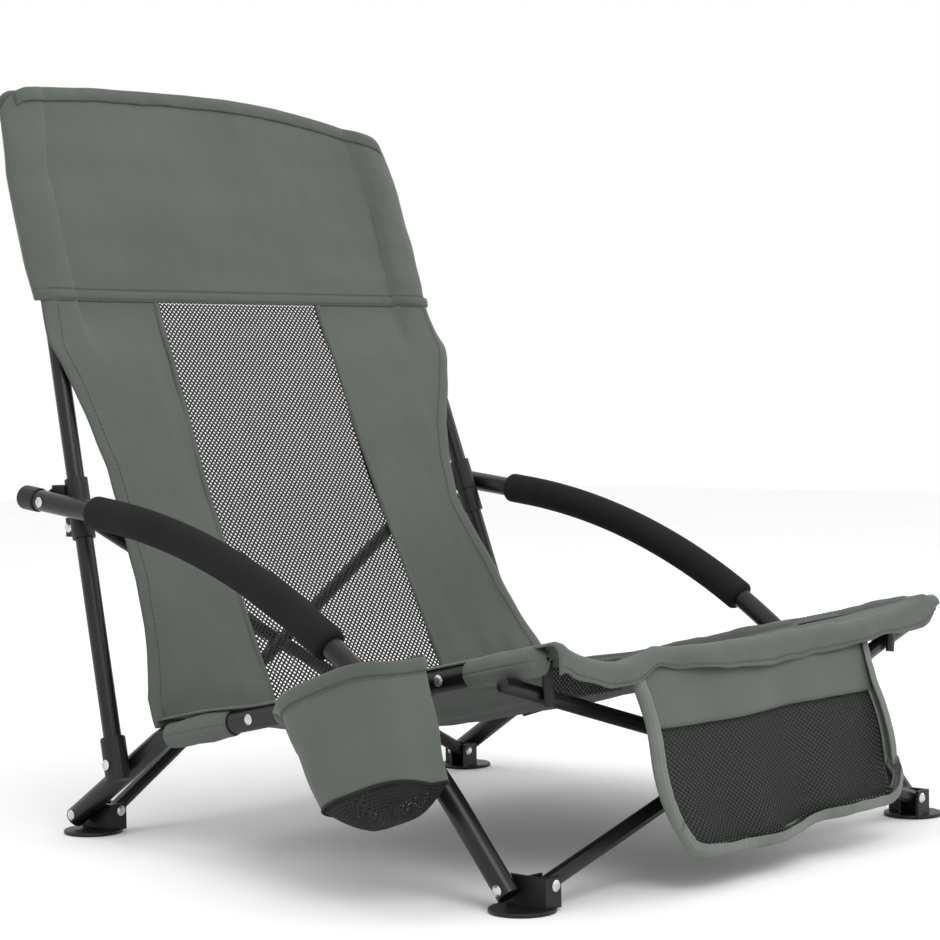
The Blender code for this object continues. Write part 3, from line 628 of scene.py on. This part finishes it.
def headrest_point(u, v):
    """u runs from the right sleeve's back, round its edge, across the front and round the left."""
    wrap = 0.19
    corner = 0.026
    if u < BACK_SHARE:
        across, behind = -1 + (1 - u / BACK_SHARE) * wrap, True
    elif u > 1 - BACK_SHARE:
        across, behind = 1 - ((u - 1 + BACK_SHARE) / BACK_SHARE) * wrap, True
    else:
        across, behind = -1 + 2 * (u - BACK_SHARE) / (1 - 2 * BACK_SHARE), False
    z_top = top_z(across)
    from_end = (1 - abs(across)) * 0.25
    if from_end < corner:
        z_top -= corner - math.sqrt(max(corner * corner - (corner - from_end) ** 2, 0.0))
    z = mix(SEAM_Z + BAND_LOW, z_top, v)
    half = head_half(across, z)
    half += 0.0016 * rough(0.0, across * 3, z, 0.045, 2.0)
    x = across * half
    depth = sleeve_depth(x, half)
    lift = 0.0 if v < 0.9 else (v - 0.9) * 0.02
    y = middle_y(x, z, half) + (depth if behind else -depth) + lift
    calm = smooth(0.0, 0.15, v) * (0.4 if behind else 1.0)
    y += wrinkle(x, z, 1.0) * calm + 0.0016 * calm * rough(x * 0.5, 0.0, z * 2.4, 0.07, 9.0)
    return Vector((x, y, z))


def panel_y(x, z):
    """Depth of the back below the seam."""
    rise = min(max((z - BACK_FOOT.y) / (SEAM_Z - BACK_FOOT.y), 0.0), 1.0)
    plane = BACK_FOOT.x + BACK_SLOPE * (z - BACK_FOOT.y) + 0.007 * math.sin(math.pi * rise)
    plane += 0.019 * rise * (1 - min((x / 0.25) ** 2, 1.0))
    plane += 0.006 * (1 - rise) * (1 - min((x / 0.25) ** 2, 1.0))
    half = head_half(x, SEAM_Z)
    top = middle_y(x, z, half) - sleeve_depth(x, half)
    return mix(plane, top, smooth(0.425, 0.478, z))


def mesh_half(z, side):
    """Half width of the back's net on this side."""
    top, bottom = MESH_HALF[side]
    return mix(top, bottom, (SEAM_Z - z) / (SEAM_Z - BACK_BOTTOM_Z))


def waist(z, side):
    """Half width of the whole back on this side."""
    return level(WAIST[side], z) + 0.0022 * rough(side * 2.0, 0.0, z, 0.035, 4.0)


def side_panel_point(side, u, v):
    """A side panel of the back: u from the net out to the edge, and round it into the hem."""
    z = mix(BACK_BOTTOM_Z - 0.002, SEAM_Z + 0.0055, v)
    inner, outer = mesh_half(z, side) - 0.004, waist(z, side)
    fold_share = 0.12
    if u <= 1 - fold_share:
        x = mix(inner, outer, u / (1 - fold_share))
        behind = 0.0
    else:
        t = (u - 1 + fold_share) / fold_share
        x = outer - 0.016 * t
        behind = 0.0032 * min(t * 3, 1.0)
    edge = smooth(outer - 0.020, outer, x)
    swell = 0.0 if behind else 0.0012 * math.sin(math.pi * min(edge, 1.0))
    y = panel_y(side * x, z) + behind - swell
    slack = smooth(0.0, 0.12, 1 - v)
    y += (wrinkle(x * side, z, 6.0 + side) * 1.3) * slack
    y += 0.004 * slack * rough(x, 0.0, z * 0.35, 0.035, 11.0 + side) * smooth(0.16, 0.24, x)
    y += 0.006 * smooth(0.20, 0.12, z) * rough(x, 0.0, z, 0.05, 15.0 + side)
    return Vector((side * x, y, z))


headrest = grid("headrest", headrest_point, 132, 60, CLOTH, (0.62, 0.21))
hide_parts("headrest_panel")


def front_share(across):
    """The headrest's u on its front, where across runs from -1 to 1."""
    return BACK_SHARE + (across + 1) / 2 * FRONT_SHARE


def front_point(across, v):
    """A point of the headrest's front."""
    return headrest_point(min(max(front_share(across), FRONT_ENDS[0]), FRONT_ENDS[1]), v)


def front_line(z, low, high, count, out):
    """Points proud of the headrest's front at this height, from x = low to high."""
    made = []
    for x in stations(low, high, count):
        half = head_half(x, z)
        v = (z - SEAM_Z - BAND_LOW) / (top_z(x / half) - SEAM_Z - BAND_LOW)
        made.append(front_point(x / half, v) + Vector((0.0, -out, 0.0)))
    return made


def seam_band_point(u, v):
    """The folded band over the seam between the headrest and the back."""
    z = mix(SEAM_Z + BAND_LOW - 0.001, SEAM_Z + BAND_HIGH, v)
    half = head_half(u - 0.5, SEAM_Z) + 0.0012
    x = (2 * u - 1) * half
    spot = front_point(x / half, max(z - SEAM_Z - BAND_LOW, 0.0) / 0.21)
    puff = 0.0012 * math.sin(math.pi * v) ** 0.5 if 0 < v < 1 else 0.0
    puff += 0.0009 * rough(x, 0.0, z * 0.3, 0.016, 8.0) * math.sin(math.pi * v)
    return Vector((x, spot.y - 0.0010 - puff, z))


seam_band = grid("seam_band", seam_band_point, 130, 8, HEM, (0.51, 0.018), thickness=0.0010)
seam_rows = []
for row, height in enumerate((SEAM_Z + BAND_HIGH + 0.0025, SEAM_Z + BAND_LOW + 0.0020)):
    line = front_line(height, -0.249, 0.249, 120, out=0.0026 if row else 0.0008)
    seam_rows.append(stitches(f"seam_stitches_{row}", line, (0, -1, 0)))
sleeve_rows = []
SLEEVE_SEAM_TOP = {-1: 0.668, 1: 0.655}
for label, side in SIDES.items():
    line = []
    for z in stations(SEAM_Z + 0.012, SLEEVE_SEAM_TOP[side], 39):
        at = side * (head_half(side, z) - SLEEVE)
        line += front_line(z, at, at, 1, out=0.0008)[:1]
    sleeve_rows.append(stitches(f"sleeve_stitches_{label}", line, (0, -1, 0)))


def top_hem_point(u, v):
    """The rolled hem along the headrest's top edge."""
    across = mix(-0.955, 0.955, u)
    width = 0.0125 + 0.0012 * rough(across * 0.25, 0.0, 0.0, 0.03, 21.0)
    share = front_share(across)
    edge = headrest_point(share, 1.0)
    roll = math.sin(math.pi * min(v * 1.02, 1.0))
    z = edge.z + 0.0012 - width * v
    y = headrest_point(share, 1.0 - width * v / 0.2).y - 0.0012 - 0.0016 * roll
    y += 0.0010 * rough(edge.x, 0.0, v * 0.02, 0.018, 25.0)
    return Vector((edge.x, y, z))


top_hem = grid("top_hem", top_hem_point, 120, 8, HEM, (0.49, 0.013), thickness=0.0014)

back_pieces = [headrest, seam_band, top_hem, *seam_rows, *sleeve_rows]
for label, side in SIDES.items():
    panel = grid(f"back_side_{label}", partial(side_panel_point, side), 40, 90, CLOTH,
                 (0.16, 0.366))
    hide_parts(f"back_side_panel_{label}")
    outer, inner = [], []
    for z in stations(BACK_BOTTOM_Z, SEAM_Z + 0.002, 90):
        net_edge, edge = mesh_half(z, side), waist(z, side)
        x = edge - 0.0135
        u = 0.88 * (x - net_edge) / (edge - net_edge)
        v = (z - BACK_BOTTOM_Z + 0.002) / (SEAM_Z - BACK_BOTTOM_Z + 0.0075)
        outer.append(Vector((side * x, side_panel_point(side, u, v).y - 0.0008, z)))
        inner.append(Vector((side * (net_edge - 0.001), panel_y(side * net_edge, z) - 0.0008, z)))
    hem_row = stitches(f"back_hem_stitches_{label}", outer, (0, -1, 0))
    trim = tube(f"mesh_trim_{label}", inner, 0.0016, HEM, sides=10, wide=1.9)
    back_pieces += [panel, hem_row, trim]


def back_net_point(u, v):
    z = mix(BACK_BOTTOM_Z, SEAM_Z + 0.0030, v)
    x = mix(-mesh_half(z, -1), mesh_half(z, 1), u)
    crease = wrinkle(x, z, 2.0) * 0.8 * smooth(0.0, 0.1, 1 - v)
    return Vector((x, panel_y(x, z) + 0.0010 + crease, z))


BACK_NET_SIZE = (0.223, 0.361)
back_net = net("back_net", back_net_point, BACK_NET_SIZE)
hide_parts("back_mesh_panel")
back_pieces.append(back_net)
BACK_ANCHOR = world((-post_x(SEAM_Z), post_y(SEAM_Z), SEAM_Z))
for piece in back_pieces:
    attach(piece, "post_right")
    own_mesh(piece)

# ---------------------------------------------------------------- seat
SEAT_EDGE_X = RAIL_X + 0.0050
CROWN = ARM_R + 0.0016  # the cloth's height over a rail's centre line


def seat_sag(y):
    """How far the cloth sags between the rails."""
    share = (y - SEAT_Y[0]) / (SEAT_Y[1] - SEAT_Y[0])
    return 0.005 + 0.029 * math.sin(math.pi * min(max(share, 0.0), 1.0)) ** 0.8


def seat_point(u, v):
    """u runs from the right rail to the left, v from the front edge to the rear."""
    y = mix(SEAT_Y[0], SEAT_Y[1], v)
    x = mix(-SEAT_EDGE_X, SEAT_EDGE_X + 0.013 * smooth(0.10, 0.0, v), u)
    inner = min(abs(x) / RAIL_X, 1.0)
    z = rail_height(y) + CROWN - (CROWN + seat_sag(y)) * (1 - inner ** 2.6) ** 0.9
    if abs(x) > RAIL_X:
        past = min(abs(x) - RAIL_X, 0.006)
        z -= CROWN - math.sqrt(max(CROWN * CROWN - past * past, 0.0))
    z += 0.0055 * smooth(0.02, 0.12, y) * inner ** 4
    # the front edge dips beside each rail, and more on the right
    dip = math.sin(math.pi * min(max((RAIL_X - abs(x)) / 0.12, 0.0), 1.0))
    z -= 0.0120 * smooth(-0.25, SEAT_Y[0], y) * dip * (1.0 if x < 0 else 0.3)
    lumps = 0.0026 * rough(x * 1.3, y * 0.4, 0.0, 0.05, 13.0) * (1 - inner ** 4)
    z += wrinkle(x, y, 12.0) * 1.2 * (1 - 0.85 * inner ** 6) + lumps
    z += 0.0185 * smooth(0.105, 0.169, y) * (1 - inner ** 4)  # it rises to meet the back
    inside = RAIL_X - abs(x)
    if 0 <= inside < CROWN:  # the cloth lies on the rail's tube and never dips into it
        z = max(z, rail_height(y) + 0.0004 + math.sqrt(CROWN * CROWN - inside * inside))
    y += 0.003 * rough(x, 0.0, 0.0, 0.05, 14.0) * smooth(0.12, 0.0, v)
    return Vector((x, y, z))


seat = grid("seat", seat_point, 100, 80, CLOTH, (0.53, 0.46))
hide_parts("seat_panel")


FLAP_ROLL_R = 0.0080


def front_flap_point(u, v):
    """The seat's front edge rolls over and hangs as a wavy flap."""
    across = mix(-1.0, 1.0, u)
    edge = seat_point(u, 0.0)
    drop = 0.021 + 0.004 * math.sin(across * 5.0 + 1.0)
    drop += 0.003 * rough(edge.x, 0.0, 0.0, 0.03, 17.0)
    drop *= 1.0 + 0.45 * smooth(0.60, 0.90, across) - 1.1 * smooth(0.92, 1.0, across)
    roll = math.radians(85) * min(v * 3, 1.0)
    y = edge.y - FLAP_ROLL_R * math.sin(roll)
    z = edge.z - FLAP_ROLL_R * (1 - math.cos(roll))
    z -= max(v - 1 / 3, 0.0) * 1.5 * (drop - FLAP_ROLL_R)
    y += 0.0030 * v * math.sin(across * 9.0)
    y += 0.0026 * v * rough(edge.x, 0.0, v * 0.02, 0.028, 19.0)
    return Vector((edge.x, y, z))


front_flap = grid("seat_front_flap", front_flap_point, 100, 12, CLOTH, (0.53, 0.026))
flap_line = [front_flap_point(u, 0.80) + Vector((0, -0.0009, 0))
             for u in stations(0.01, 0.99, 120)]
flap_row = stitches("flap_stitches", flap_line, (0, -1, 0))
edge_rows = []
for label, side in SIDES.items():
    line = [seat_point(0.5 + side * 0.482, v) + Vector((0, 0, 0.0008))
            for v in stations(0.01, 0.99, 90)]
    edge_rows.append(stitches(f"seat_edge_stitches_{label}", line, (0, 0, 1)))
seat_pieces = [seat, front_flap, flap_row, *edge_rows]

SLEEVES = ((0.010, 0.092), (0.153, 0.325), (0.3715, 0.452))  # along the rail from its corner
SLEEVE_ROUND = 0.075


def sleeve(name, side, start, end, seed):
    """A piece of the seat's hem round a rail, between two distances from the rail's corner."""
    centre_x, outward = side * RAIL_X, Vector((side, 0, 0))
    square = Vector((0.0, math.sin(RAIL_SEAT_ANGLE), math.cos(RAIL_SEAT_ANGLE)))

    def place(u, v):
        s = mix(start, end, v)
        spot = RAIL_CORNER + along(RAIL_SEAT_ANGLE, s)
        turn = 2 * math.pi * u
        ends = math.sin(math.pi * v) ** 0.35 if 0 < v < 1 else 0.0
        closing = smooth(RAIL_SEAT + 0.001, RAIL_SEAT + 0.011, s)
        r = ARM_R + 0.0012 + 0.0014 * ends - 0.0085 * closing
        r += 0.0011 * ends * rough(math.cos(turn) * 0.02, math.sin(turn) * 0.02, s, 0.018, seed)
        r += 0.0022 * ends * max(math.sin(turn), 0.0) * rough(0.0, 0.0, s, 0.04, seed + 3)
        centre = Vector((centre_x, spot.x, spot.y))
        return centre + outward * (math.cos(turn) * r) + square * (math.sin(turn) * r)

    return grid(name, place, 32, 36, CLOTH, (SLEEVE_ROUND, end - start), thickness=0.0010,
                offset=1.0)


sleeve_pieces = {"right": [], "left": []}
for label, side in SIDES.items():
    for k, (start, end) in enumerate(SLEEVES):
        piece = sleeve(f"rail_sleeve_{k}_{label}", side, start, end, 30.0 + 4 * k + side)
        sleeve_pieces[label].append(piece)

# ---------------------------------------------------------------- hangers and brace ends
CROSS_R = 0.0065
CROSS_FOOT = Vector((0.2554, -0.2764, 0.0195))  # a front brace's lower pivot, on the left
CROSS_TOP = Vector((0.2360, -0.2575, 0.1600))  # and its upper pivot
STUB = ((0.0050, 1.0), (0.0400, 1.0), (0.0440, 0.92), (0.0455, 0.55))  # (past the pivot, share)
STRAP_RUN = (0.332, 0.437)  # along the rail from its corner
STRAP_THICK = 0.0060
TAB = ((0.2400, -0.2690, rail_height(-0.2690) - 0.002), (0.2385, -0.2670, 0.172),
       (0.2360, -0.2670, 0.1530))
for label, side in SIDES.items():
    foot = Vector((-side * CROSS_FOOT.x, CROSS_FOOT.y, CROSS_FOOT.z))
    pivot = Vector((side * CROSS_TOP.x, CROSS_TOP.y, CROSS_TOP.z))
    run = (pivot - foot).normalized()
    stub = tube(f"cross_end_{label}", [pivot + run * past for past, _ in STUB], CROSS_R, PAINT,
                radii=[CROSS_R * share for _, share in STUB])
    strap_x = side * (RAIL_X - ARM_R - RUN_GAP - STRAP_THICK / 2)
    ends = [RAIL_CORNER + along(RAIL_SEAT_ANGLE, s) for s in STRAP_RUN]
    strap = tube(f"hanger_strap_{label}", [Vector((strap_x, p.x, p.y)) for p in ends], 0.0068,
                 PLASTIC, sides=24, wide=0.44)
    tab = tube(f"hanger_tab_{label}", [Vector((side * x, y, z)) for x, y, z in TAB], 0.0028,
               PLASTIC, sides=24, wide=2.0)
    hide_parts(f"cross_hanger_{label}")
    for piece in (stub, strap, tab):
        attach(piece, f"hanger_{label}")

# ---------------------------------------------------------------- under the seat, and loose threads
STRIP_X = (-0.236, -0.150)
STRIP_SIZE = (0.086, 0.026)


def strip_point(u, v):
    """A short net strip under the seat's front, beside the right rail."""
    x = mix(*STRIP_X, u)
    y = -0.2680 + 0.0015 * rough(x, 0.0, v * 0.02, 0.02, 70.0)
    return Vector((x, y, mix(0.156, rail_height(y) - 0.006, v)))


strip = net("under_strip", strip_point, STRIP_SIZE, NET_PITCH * 0.8, hole=0.62)
seat_pieces.append(strip)


def loose_path(k):
    """The k-th loose thread end, curling forward from the seat's rear right corner."""
    x = -0.236 + 0.006 * k + 0.002 * math.sin(5.0 * k)
    start = Vector((x, 0.158, 0.1080 + 0.001 * (k % 3)))
    return [start + Vector((0.0030 * t * math.cos(3.1 * k), -0.0040 - 0.0035 * t,
                            0.0032 * math.sin(2.2 * t + k)))
            for t in stations(0.0, 3.0, 12)]


for k in range(7):
    seat_pieces.append(
        tube(f"loose_thread_{k}", loose_path(k), 0.00032, THREAD, sides=6))

# ---------------------------------------------------------------- cup holder
CUP_TOP = Vector((-0.3295, -0.1435, 0.1735))  # the middle of its rim
CUP_TILT = math.radians(20.0)
CUP_DEPTH = 0.098
CUP_HALF = (0.0345, 0.0640)  # across the chair and along it
CUP_TAPER = (0.90, 0.79)
CUP_TURN = Matrix.Rotation(-CUP_TILT, 4, "X").to_3x3()
CUP_AROUND = 96
CUP_HEM_SHARE = 0.105


def cup_ring(turn, v, proud=0.0):
    """A point of the pouch's wall at this turn, v from 0 at the rim to 1 at the base."""
    c, s = math.cos(turn), math.sin(turn)
    corner = 0.55
    x = math.copysign(abs(c) ** corner, c)
    y = math.copysign(abs(s) ** corner, s)
    wide = CUP_HALF[0] * mix(1, CUP_TAPER[0], v)
    long = CUP_HALF[1] * mix(1, CUP_TAPER[1], v)
    z = -CUP_DEPTH * v
    bulge = 1 + 0.03 * math.sin(math.pi * min(v * 1.1, 1.0))
    sway = 0.0018 * rough(x * 0.03, y * 0.06, z, 0.03, 40.0) * smooth(0.0, 0.2, v)
    local = Vector((x * (wide * bulge + proud) + x * sway, y * (long + proud) + y * sway, z))
    local.y -= 0.005 * v
    local.z += 0.004 * math.cos(2 * turn) * (1 - v)
    return CUP_TOP + CUP_TURN @ local


def cup_end(turn):
    """Where the cloth gives way to net: the net climbs a little up the outer wall."""
    return 1.0 - 0.10 * max(-math.cos(turn), 0.0) ** 0.6


def cup_wall_point(u, v):
    turn = 2 * math.pi * u
    return cup_ring(turn, v * cup_end(turn))


def closed_ring(name, place, columns, rows, look, size, thickness):
    """A sheet joined to itself where u returns to its start."""
    points, uvs, faces = [], [], []
    for j in range(rows + 1):
        for i in range(columns):
            points.append(place(i / columns, j / rows))
            uvs.append((i / columns * size[0], j / rows * size[1]))
    for j in range(rows):
        for i in range(columns):
            k = (i + 1) % columns
            near, far = j * columns, (j + 1) * columns
            faces.append((near + i, near + k, far + k, far + i))
    return solid(add(name, points, faces, look, uvs), thickness)


cup_round = 2 * math.pi * math.sqrt((CUP_HALF[0] ** 2 + CUP_HALF[1] ** 2) / 2) * 1.05
cup = closed_ring("cup_pouch", cup_wall_point, CUP_AROUND, 30, CLOTH, (cup_round, CUP_DEPTH),
                  0.0014)
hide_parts("cup_holder")


def cup_hem_point(u, v):
    """The folded hem round the pouch's rim."""
    fat = 0.0010 + 0.0010 * math.sin(math.pi * v)
    return cup_ring(2 * math.pi * u, v * CUP_HEM_SHARE, proud=fat) + Vector((0, 0, 0.0010))


cup_hem = closed_ring("cup_hem", cup_hem_point, CUP_AROUND, 5, HEM, (cup_round, 0.011), 0.0012)
cup_line = [cup_ring(2 * math.pi * k / 160, 0.118, proud=0.0010) for k in range(161)]
cup_row = stitches("cup_stitches", cup_line, (-1, 0, 0))


def cup_base_point(u, v):
    """The net bottom: a shallow bowl hanging from the pouch's lower edge."""
    turn = 2 * math.pi * u
    edge = cup_ring(turn, cup_end(turn), proud=-0.0008)
    centre = sum((cup_ring(math.pi * k / 2, 1.0) for k in range(4)), Vector()) / 4
    spot = centre.lerp(edge, 1 - v)
    down = CUP_TURN @ Vector((0, 0, -1))
    return spot + down * (0.019 * math.sin(math.pi / 2 * min(v * 1.4, 1.0)))


def cup_net_point(u, v):
    """The same bowl laid out across and along, for the net."""
    a, b = 2 * u - 1, 2 * v - 1
    radius = max(abs(a), abs(b))
    if radius < 1e-6:
        return cup_base_point(0.0, 1.0)
    if abs(a) >= abs(b):
        turn = (0.0 if a > 0 else math.pi) + math.pi / 4 * (b / a)
    else:
        turn = (math.pi / 2 if b > 0 else 3 * math.pi / 2) - math.pi / 4 * (a / b)
    return cup_base_point(turn / (2 * math.pi), 1 - radius)


cup_net = net("cup_net", cup_net_point, (0.085, 0.130), 0.0046, hole=0.50)
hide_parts("cup_holder_base")
cup_turns = [2 * math.pi * k / CUP_AROUND for k in range(CUP_AROUND + 1)]
cup_binding_path = [cup_ring(turn, cup_end(turn), proud=0.0004) for turn in cup_turns]
cup_binding = tube("cup_base_trim", cup_binding_path, 0.0011, NET, sides=8)


def cup_rear_web_point(u, v):
    """The rear web: cloth from the pouch's back edge to the rail's sleeve under the arm."""
    rear = cup_ring(math.pi / 2 + 0.55, u * 0.42, proud=0.0006)
    y = mix(0.009, -0.046, u)
    inner = Vector((-RAIL_X - ARM_R - 0.001, y, rail_height(y) - 0.004 * u))
    spot = rear.lerp(inner, v)
    spot.x -= 0.003 * math.sin(math.pi * v)
    return spot


rear_web = grid("cup_rear_web", cup_rear_web_point, 12, 14, CLOTH, (0.055, 0.06), thickness=0.0012)
cup_pieces = [cup, cup_hem, cup_row, cup_net, cup_binding, rear_web]

# ---------------------------------------------------------------- front pocket
POCKET_TOP = Vector((-0.2870, 0.176))
POCKET_BOTTOM = Vector((-0.3290, 0.029))
POCKET_HALF = (0.163, 0.149)  # at the top and at the bottom
POCKET_CORNER = 0.024
POCKET_BAND = 0.32  # share of its height
POCKET_EDGE = 0.010


def pocket_point(u, v, out=0.0):
    """u across from the right, v from the bottom to the top."""
    across = mix(-1.0, 1.0, u)
    half = mix(POCKET_HALF[1], POCKET_HALF[0], v ** 0.8)
    past = POCKET_CORNER - (1 - abs(across)) * half
    low = 0.0
    if past > 0:  # the left lower corner is round and the right one is nearly square
        low = POCKET_CORNER - math.sqrt(max(POCKET_CORNER ** 2 - past ** 2, 0.0))
        low *= 1.0 if across > 0 else 0.35
    z = mix(POCKET_BOTTOM.y + low, POCKET_TOP.y, v)
    y = mix(POCKET_BOTTOM.x, POCKET_TOP.x, v)
    wave = 0.0045 * math.sin(across * 4.2 + 0.6) + 0.003 * math.sin(across * 9.5)
    y += wave * (1 - v) ** 0.7 - 0.006 * math.sin(math.pi * v) - out
    y += 0.0018 * rough(across * half, 0.0, z, 0.045, 50.0)
    hem_wave = 0.0030 * across + 0.0035 * math.sin(across * 3.6 - 0.6)
    z += (hem_wave + 0.0015 * rough(across, 0.0, 0.0, 0.2, 51.0)) * (1 - v)
    side_wave = 0.0030 * math.sin(z * 60.0 + (0.0 if across < 0 else 2.0)) * abs(across)
    return Vector((across * half + side_wave - 0.011 * math.sin(math.pi * v ** 0.8), y, z))


def pocket_part(inset, low, high, out):
    """The pocket's surface between two heights, this far in from each side and this far out."""
    def place(u, v):
        return pocket_point(mix(inset, 1 - inset, u), mix(low, high, v), out)
    return place


pocket_back = grid("pocket_back", pocket_part(0.02, 0.03, 1, -0.0016), 60, 40, CLOTH,
                   (0.31, 0.15))
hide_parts("front_pocket")
pocket_band = grid("pocket_band", pocket_part(0.01, 1 - POCKET_BAND, 1, 0.002), 60, 14, CLOTH,
                   (0.33, 0.046))
pocket_net = net("pocket_net", pocket_part(0.02, 0.04, 1 - POCKET_BAND, 0.0005), (0.30, 0.105),
                 hole=0.77)
band_edge = [pocket_point(u, 1 - POCKET_BAND + 0.005, 0.0036) for u in stations(0.02, 0.98, 60)]
band_row = stitches("pocket_band_stitches", band_edge, (0, -1, 0))


RIM_SIDE = 0.24  # share of the tape's length up each side
RIM_BOTTOM = 0.52


def pocket_rim(share):
    """Round the pocket's edge: down its right side, along the bottom and up the left side."""
    if share < RIM_SIDE:
        return 0.0, 1 - share / RIM_SIDE * 0.999
    if share > RIM_SIDE + RIM_BOTTOM:
        return 1.0, (share - RIM_SIDE - RIM_BOTTOM) / RIM_SIDE * 0.999 + 0.001
    return (share - RIM_SIDE) / RIM_BOTTOM, 0.0


def pocket_binding_point(u, v):
    """The edge tape: v runs from its front inner edge round the pocket's edge to the back."""
    a, b = pocket_rim(u)
    outer = pocket_point(a, b)
    if b > 0.10:
        inward = Vector(((0.5 - a) * 2, 0.0, 0.0))
    else:
        inward = Vector(((0.5 - a) * 0.7 * (abs(a - 0.5) * 2) ** 8, 0.0, 1.0))
    inward.normalize()
    t = v * 2 - 1
    y = outer.y + math.copysign(0.0026 * min(abs(t) / 0.15, 1.0), t)
    if t < 0:
        y -= 0.0022 + 0.0006 * rough(outer.x, 0.0, outer.z, 0.008, 60.0)
    spot = outer + inward * (POCKET_EDGE * abs(t))
    return Vector((spot.x, y, spot.z))


pocket_binding = grid("pocket_binding", pocket_binding_point, 200, 10, BINDING, (0.60, 0.022),
                      thickness=0.0009)
pocket_pieces = [pocket_back, pocket_band, pocket_net, band_row, pocket_binding]

# ---------------------------------------------------------------- what the seat's pieces ride on
RAIL_ANCHOR = world((-RAIL_X, 0.0, 0.12))
for piece in [*seat_pieces, *sleeve_pieces["right"], *cup_pieces, *pocket_pieces]:
    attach(piece, "rail_right")
for piece in sleeve_pieces["left"]:
    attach(piece, "rail_left")
for piece in [*seat_pieces, *pocket_pieces]:
    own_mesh(piece)

# ---------------------------------------------------------------- studio, camera and light
FLOOR_REACH = 6.0
FLOOR = finish_material("pale_floor", (0.93, 0.93, 0.93), (0.95, 0.95, 0.95), 2.0, (0.8, 0.9),
                        ((30.0, 0.0001),))
floor_mesh = bpy.data.meshes.new("floor")
floor_mesh.from_pydata([(FLOOR_REACH * x, FLOOR_REACH * y, 0)
                        for x, y in ((-1, -1), (1, -1), (1, 1), (-1, 1))], [], [(0, 1, 2, 3)])
floor_mesh.materials.append(FLOOR)
floor = bpy.data.objects.new("floor", floor_mesh)
bpy.context.scene.collection.objects.link(floor)

sky = bpy.data.worlds.new("studio")
sky.use_nodes = True
fill(sky.node_tree.nodes["Background"], {"Color": (1.0, 1.0, 1.0, 1.0), "Strength": 1.0})
bpy.context.scene.world = sky


def soft_light(name, place, aim, size, power):
    """A round area light at place, turned to aim."""
    lamp = bpy.data.lights.new(name, "AREA")
    lamp.shape = "DISK"
    lamp.size = size
    lamp.energy = power
    made = bpy.data.objects.new(name, lamp)
    made.location = place
    made.rotation_euler = (Vector(aim) - Vector(place)).to_track_quat("-Z", "Y").to_euler()
    bpy.context.scene.collection.objects.link(made)


soft_light("key", (-1.2, -2.2, 2.6), (0.0, 0.0, 0.3), 1.8, 34.0)
soft_light("fill", (2.6, -1.4, 1.8), (0.0, 0.0, 0.3), 2.0, 12.0)
soft_light("top", (0.2, 0.8, 3.0), (0.0, 0.0, 0.2), 2.2, 14.0)

CAMERA_AZIMUTH = math.radians(-47.7)
CAMERA_ELEVATION = math.radians(1.9)
CAMERA_ROLL = math.radians(-0.88)
CAMERA_PLACE = (-1.711, -1.530, 0.3985)
CAMERA_LENS = 97.5
back = Vector((math.sin(CAMERA_AZIMUTH) * math.cos(CAMERA_ELEVATION),
               -math.cos(CAMERA_AZIMUTH) * math.cos(CAMERA_ELEVATION),
               math.sin(CAMERA_ELEVATION)))
level_right = Vector((0, 0, 1)).cross(back).normalized()
level_up = back.cross(level_right)
right = level_right * math.cos(CAMERA_ROLL) + level_up * math.sin(CAMERA_ROLL)
up = level_up * math.cos(CAMERA_ROLL) - level_right * math.sin(CAMERA_ROLL)
eye = bpy.data.cameras.new("camera")
eye.sensor_width = 36.0
eye.lens = CAMERA_LENS
camera = bpy.data.objects.new("camera", eye)
turned = Matrix((right, up, back)).transposed().to_4x4()
camera.matrix_world = Matrix.Translation(world(CAMERA_PLACE)) @ turned
bpy.context.scene.collection.objects.link(camera)
bpy.context.scene.camera = camera
bpy.context.scene.view_settings.view_transform = "Standard"
